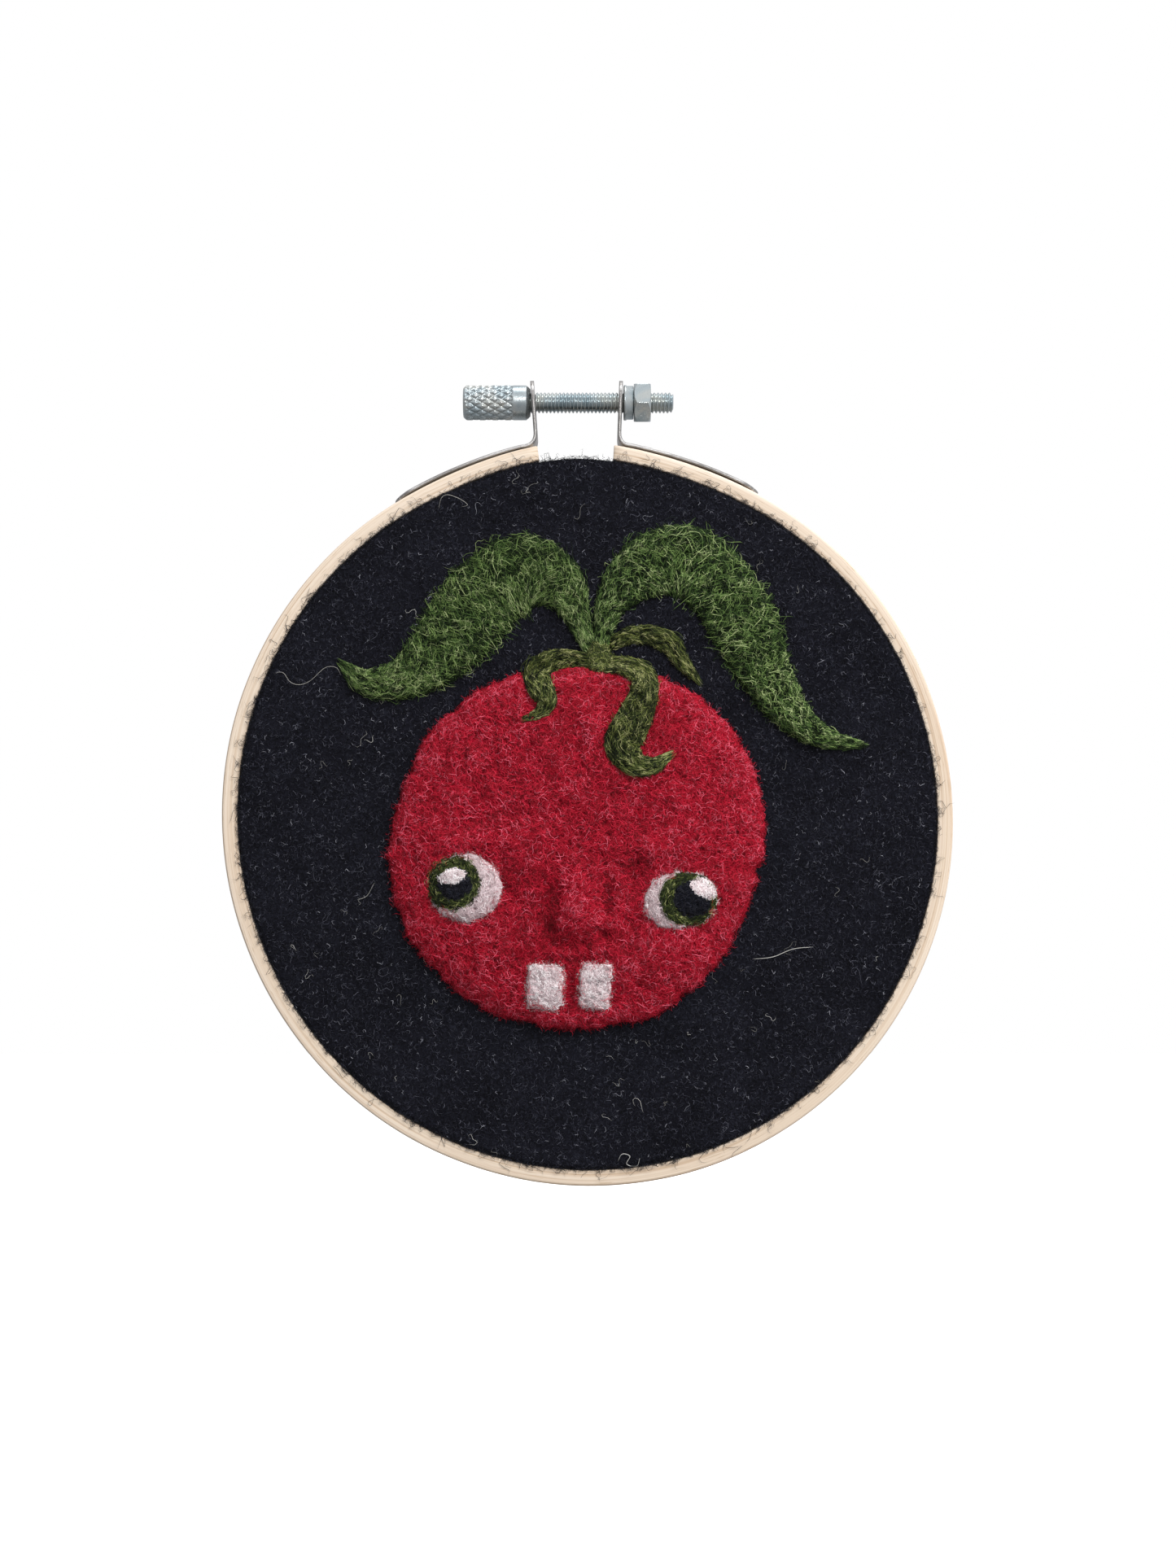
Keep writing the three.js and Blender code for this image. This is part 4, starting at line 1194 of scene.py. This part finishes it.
def eyes_and_teeth():
    # Each kind's felt, slot, threads and their weights, count and length, and whether they wind round
    kinds = {
        "eyeball": (WHITE_FELT, "white_wool", WHITE_THREADS, [5, 3, 1], 1500, 2.2, False),
        "iris": (OLIVE_FELT, "olive_wool", OLIVE_THREADS, [4, 4, 3, 1, 0.5], 1300, 1.8, True),
        "pupil": (INK_FELT, "black_wool", BLACK_THREADS, [4, 3, 1], 420, 1.3, False),
        "glint": (WHITE_FELT, "white_wool", WHITE_THREADS, [1, 2, 5], 260, 1.2, False),
    }
    for side, (which, patches) in enumerate(EYES.items()):
        for number, (kind, patch) in enumerate(patches.items()):
            felt, slot, threads, weights, count, length, winding = kinds[kind]
            node, seed = f"{kind}_{which}", 560 + 10 * side + number
            add_patch(node, patch, felt, slot)
            patch_strands(node, patch, count, length, threads, weights, slot, seed, winding)
    for seed, (which, patch) in enumerate(TEETH.items(), 590):
        node, slot = f"tooth_{which}", "white_wool"
        add_patch(node, patch, WHITE_FELT, slot)
        patch_strands(node, patch, 1200, 2.0, WHITE_THREADS, [3, 3, 3], slot, seed, spread=1.12)


def leaf_strands(name, leaf, count, threads, weights, slot, seed, spread=0.98):
    """Strands along a leaf, some of which stray past its edge."""
    rng = np.random.default_rng(seed)
    t = np.linspace(0, 1, 6)[None]
    length = rng.uniform(0.7, 2.4, (count, 1))
    start = rng.uniform(-0.3, leaf.length - 1.2, (count, 1))
    across = rng.uniform(-1, 1, (count, 1)) * spread
    drift = rng.normal(0, 0.22, (count, 1))
    turns, phase = rng.uniform(0.5, 1.4, (count, 1)), rng.uniform(0, 1, (count, 1))
    wave = rng.uniform(0.03, 0.14, (count, 1)) * np.sin(TURN * (t * turns + phase))
    along = start + length * t
    path = across + drift * (t - 0.5) + wave
    x, z, _ = leaf.at(along, path)
    # Past the leaf's ends, strands go on the way its tip points.
    over = np.maximum(along - np.clip(along, 0, leaf.length), 0)
    tip = leaf.places[-1, :2] - leaf.places[-4, :2]
    tip /= np.linalg.norm(tip)
    x, z = x + over * tip[0], z + over * tip[1]
    radius = rng.uniform(0.03, 0.06, count)
    arch = rng.uniform(0.0, 0.5, (count, 1))
    height = leaf.height(np.clip(along, 0, leaf.length), np.clip(path, -1, 1)) - 0.05
    height += (arch + radius[:, None]) * np.sin(np.pi * t) ** 0.7
    half = leaf.at(np.clip(along[:, 2], 0, leaf.length), 0.0)[2]
    # tone: painted light on the cords and painted shade between them and in the needle's pits, with some
    # random variation
    tone = 0.7 * leaf.ridge(along[:, 2], path[:, 2] * half) + 0.06 * lumps(x[:, 2], z[:, 2], 3.0, seed)
    tone -= 0.5 * needle_marks(x[:, 2], z[:, 2], 1.25, 0.36, leaf.seed + 2)
    add_strands(name, on_picture(x, z, height), radius, threads, weights, slot, rng, tone)


def leaves():
    for number, (name, (leaf, count, felt, threads, slot)) in enumerate(LEAVES.items()):
        add_piece(f"{name}_felt", *leaf.mesh(), [felt], "picture", slot, [name])
        weights = [3.4, 2.6, 3, 2.8, 2.4]
        leaf_strands(f"{name}_strands", leaf, count, threads, weights, slot, 600 + number)
        weights = [2, 3, 3, 2, 1]
        leaf_strands(f"{name}_strays", leaf, count // 12, threads, weights, slot, 620 + number, spread=1.18)
    add_patch("calyx_crown", CROWN, OLIVE_FELT, "olive_wool", 24, 96)
    patch_strands("calyx_crown", CROWN, 900, 2.4, OLIVE_THREADS, [2, 3, 3, 2, 1], "olive_wool", 640)


RIM_LEVEL = -0.35  # where the rim's hairs start, just in front of the wood
CURL_LEVEL = -0.38  # the ends of the curls, close to the wood


def rim_hairs():
    """Black hairs pushed out of the felt's edge over the wood, and above the felt in the hoop's gap."""
    rng = np.random.default_rng(700)
    count = 5200
    turn = rng.uniform(0, TURN, count)
    radius = FELT_RADIUS + bulge_at(turn) - rng.uniform(0.0, 0.5, count)
    x, z = radius * np.sin(turn), radius * np.cos(turn)
    heading = np.pi / 2 - turn + rng.normal(0, 0.9, count)
    in_gap = (turn > TURN + LEFT_END) | (turn < RIGHT_END)
    length = (rng.gamma(1.8, 0.7, count) + 0.3) * np.where(in_gap, 0.7, 1)
    length += (rng.uniform(0, 1, count) < 0.04) * rng.uniform(1, 4, count)
    rise = rng.uniform(0.1, 0.7, count)
    lines = standing_hairs(x, z, lambda x, z: RIM_LEVEL, heading, length, rise, rng, bend=2.6, wobble=0.9)
    hair_radius = rng.uniform(0.028, 0.052, count)
    add_strands("felt_rim_hairs", lines, hair_radius, BLACK_THREADS, [3, 2, 1], "black_felt", rng)


def curled_hairs():
    """Longer hairs that lie in curls on the wood's front, most of them near the gap."""
    rng = np.random.default_rng(750)
    count = 90
    near_gap = rng.uniform(0, 1, count) < 0.65
    from_gap = np.where(near_gap, rng.exponential(0.35, count), rng.uniform(0, np.pi, count))
    on_left = rng.uniform(0, 1, count) < 0.5
    turn = np.where(on_left, LEFT_END - 0.02 - from_gap, RIGHT_END + 0.02 + from_gap)
    radius = FELT_RADIUS + bulge_at(turn) + rng.triangular(0.1, 0.5, STRIP_THICKNESS - 1.0, count)
    x, z = radius * np.sin(turn), radius * np.cos(turn)
    heading, length = rng.uniform(0, TURN, count), rng.uniform(1.8, 4.6, count)
    bend = rng.choice([-1, 1], count) * rng.uniform(2, 6.5, count)
    px, pz, t = curved_paths(x, z, heading, length, bend, 16, rng, 0.9)
    lines = on_picture(px, pz, CURL_LEVEL + rng.uniform(0.02, 0.3, (count, 1)) * np.sin(np.pi * t))
    hair_radius = rng.uniform(0.024, 0.038, count)
    add_strands("curled_hairs", lines, hair_radius, BLACK_THREADS, [3, 2, 1], "black_felt", rng)


# Loose pale hairs on the black felt, each a few (x, z) places
STRAYS = [
    [(-27.2, 55.9), (-26.7, 58.1), (-25.7, 58.8), (-24.1, 58.4), (-22.9, 57.8), (-21.9, 56.9), (-23.2, 56.5)],
    [
        (-57.0, 26.0), (-55.3, 26.1), (-54.0, 24.4), (-52.3, 23.9),
        (-50.3, 24.7), (-47.7, 27.0), (-45.6, 27.0), (-44.7, 25.4),
    ],
    [(29.6, -25.8), (33.4, -25.4), (37.0, -24.0), (40.8, -23.6)],
    [(-41.6, -15.2), (-39.8, -14.4), (-38.4, -12.0)],
    [(5.4, -62.0), (6.2, -60.6), (7.6, -61.0), (7.0, -62.4), (8.8, -62.8), (9.4, -61.2)],
]


def stray_hairs():
    """The pale hairs that lie where the photograph shows them, and finer ones at random."""
    rng = np.random.default_rng(710)
    lines = []
    for places in STRAYS:
        x, z = open_curve(places, 24).T
        height = ground_height(x, z) + 0.35 + 0.2 * np.sin(np.linspace(0, 9, 24))
        lines.append(on_picture(x, z, height))
    radius = np.full(len(lines), 0.06)
    add_strands("stray_hairs", np.array(lines), radius, PALE_HAIR, [1, 1], "black_felt", rng)
    count = 160
    x, z = scattered(count, FELT_RADIUS, open_felt, rng)
    heading, spans = rng.uniform(0, TURN, count), ((2, 7), (0.3, 1.0), (0.02, 0.035))
    threads, shape = FLECK_THREADS + PALE_HAIR, {"points": 10, "bend": 2.4, "wobble": 0.9}
    weights, slot = [3, 3, 2, 2, 1], "black_felt"
    add_hairs("loose_hairs", x, z, ground_height, heading, spans, threads, weights, slot, rng, **shape)


def back_fuzz():
    """Wool that the needle has pushed through to the back of the felt."""
    def tomato_back(x, z):
        return tomato_share(x, z) < 0.98

    def leaf_back(x, z):
        return leaf_cover(x, z, 0.95) & ~tomato_back(x, z)

    places = (
        ("tomato", tomato_back, 11000, RED_THREADS, "red_wool"),
        ("leaf", leaf_back, 5600, GREEN_THREADS, "leaf_wool"),
    )
    for seed, (name, accept, count, threads, slot) in enumerate(places, 720):
        rng = np.random.default_rng(seed)
        x, z = scattered(count, 60, accept, rng)
        heading = rng.uniform(0, TURN, count)
        length, rise = rng.uniform(0.8, 2.6, count), -rng.uniform(0.1, 0.8, count)
        lines = standing_hairs(x, z, lambda x, z: 0.1 - FELT_THICKNESS, heading, length, rise, rng, points=5)
        radius = rng.uniform(0.04, 0.08, count)
        add_strands(f"{name}_back_fuzz", lines, radius, threads, [2, 3, 3, 2, 1], slot, rng)


# ---------------------------------------------------------------- the studio

def camera():
    """Nearly frontal, a little below the hoop's centre."""
    elevation = np.radians(-4)
    distance = 420.0
    frame_height = 287.6  # what the picture's height takes in at the hoop
    target = np.array([0.1, 0, HOOP_Z + 6.2])
    data = bpy.data.cameras.new("camera")
    data.lens = data.sensor_width * distance / frame_height
    data.clip_start, data.clip_end = 0.01, 10
    view = bpy.data.objects.new("camera", data)
    back = np.array([0, -np.cos(elevation), np.sin(elevation)])
    view.location = (target + back * distance) * MM
    view.rotation_euler = (np.pi / 2 - elevation, 0, 0)
    bpy.context.scene.collection.objects.link(view)
    bpy.context.scene.camera = view


def soft_light(name, place, target, size, power, in_metal=False):
    """A round lamp, which either lights the object or is only to be seen as a highlight in metal."""
    data = bpy.data.lights.new(name, "AREA")
    data.shape = "DISK"
    data.size = size
    data.energy = power
    light = bpy.data.objects.new(name, data)
    light.location = place
    toward = np.array(target) - np.array(place)
    flat = np.hypot(toward[0], toward[1])
    light.rotation_euler = (np.arctan2(flat, -toward[2]), 0, np.arctan2(toward[1], toward[0]) - np.pi / 2)
    bpy.context.scene.collection.objects.link(light)
    light.visible_glossy = in_metal
    light.visible_diffuse = not in_metal


def world():
    """White to look at, and a soft sky to light with. It is brighter above and to the right, so that threads
    and knurls have a light and a dark side."""
    nodes = Nodes(bpy.data.worlds.new("studio"), "Background")
    place = nodes.add("ShaderNodeTexCoord", {}).outputs["Generated"]
    tilt = nodes.add("ShaderNodeVectorMath", {0: place, 1: (0.45, -0.1, 0.88)}, operation="DOT_PRODUCT")
    lift = nodes.add("ShaderNodeMapRange", {"Value": tilt.outputs["Value"], "From Min": -1.0})
    sky = nodes.ramp(lift.outputs["Result"], [(0.3, (0.38, 0.38, 0.39, 1)), (0.85, (0.9, 0.91, 0.94, 1))])
    seen = nodes.add("ShaderNodeLightPath", {}).outputs["Is Camera Ray"]
    shown = nodes.add("ShaderNodeMix", {0: seen, 6: sky, 7: WHITE}, data_type="RGBA")
    nodes.feed(nodes.shader, {"Color": shown.outputs[2]})
    bpy.context.scene.world = nodes.data


def floor():
    """A plain pale floor, below the hanging hoop."""
    half, level = 3000.0, OUTER_LOW[2] - 120
    corners = [(-half, -half, level), (half, -half, level), (half, half, level), (-half, half, level)]
    nodes = new_material("pale_floor")
    tone = nodes.noise(nodes.object_place(), 3.0, 2.0)
    nodes.feed(nodes.shader, {
        "Base Color": nodes.ramp(tone, [(0.3, (0.9, 0.9, 0.9, 1)), (0.7, (0.94, 0.94, 0.94, 1))]),
        "Roughness": 0.9,
        "Emission Color": WHITE,
        "Emission Strength": 0.5,
    })
    mesh = bpy.data.meshes.new("floor")
    mesh.from_pydata([tuple(c * MM for c in corner) for corner in corners], [], [(0, 1, 2, 3)])
    mesh.materials.append(nodes.data)
    plane = bpy.data.objects.new("floor", mesh)
    bpy.context.scene.collection.objects.link(plane)
    # It is only to be seen: the light on the hoop comes from the lamps and the sky.
    plane.visible_diffuse = False
    plane.visible_glossy = False


def studio():
    bpy.context.scene.view_settings.view_transform = "Standard"
    world()
    floor()
    middle = (0, 0, HOOP_Z * MM)
    soft_light("key", (0.55, -0.85, 0.7), middle, 0.45, 13.2)
    soft_light("fill", (0.7, -0.9, -0.25), middle, 0.8, 2.2)
    soft_light("back", (0.3, 0.9, 0.7), middle, 0.7, 10.0)
    soft_light("top", (0, 0.2, 1.4), (0, 0.2, -1), 1.2, 6.0)
    soft_light("window", (0.15, -1.0, 0.28), (0, 0, 0), 0.2, 2.2, in_metal=True)
    soft_light("skylight", (0.1, -0.05, 1.0), (0, 0, 0), 0.5, 3.0, in_metal=True)


# ---------------------------------------------------------------- everything

camera()
studio()
bend_at_spring(outer_hoop())
inner_hoop()
bracket("left", -1, -10.0, LEFT_END, 4)
bracket("right", 1, 6.1, RIGHT_END, 2)
clamp_screw()
nut_collar()
hex_nut()
rivets()
ground_felt()
tomato()
eyes_and_teeth()
crossing_hairs()
leaves()
felt_strands()
tomato_strands()
tomato_hairs()
rim_hairs()
curled_hairs()
stray_hairs()
back_fuzz()
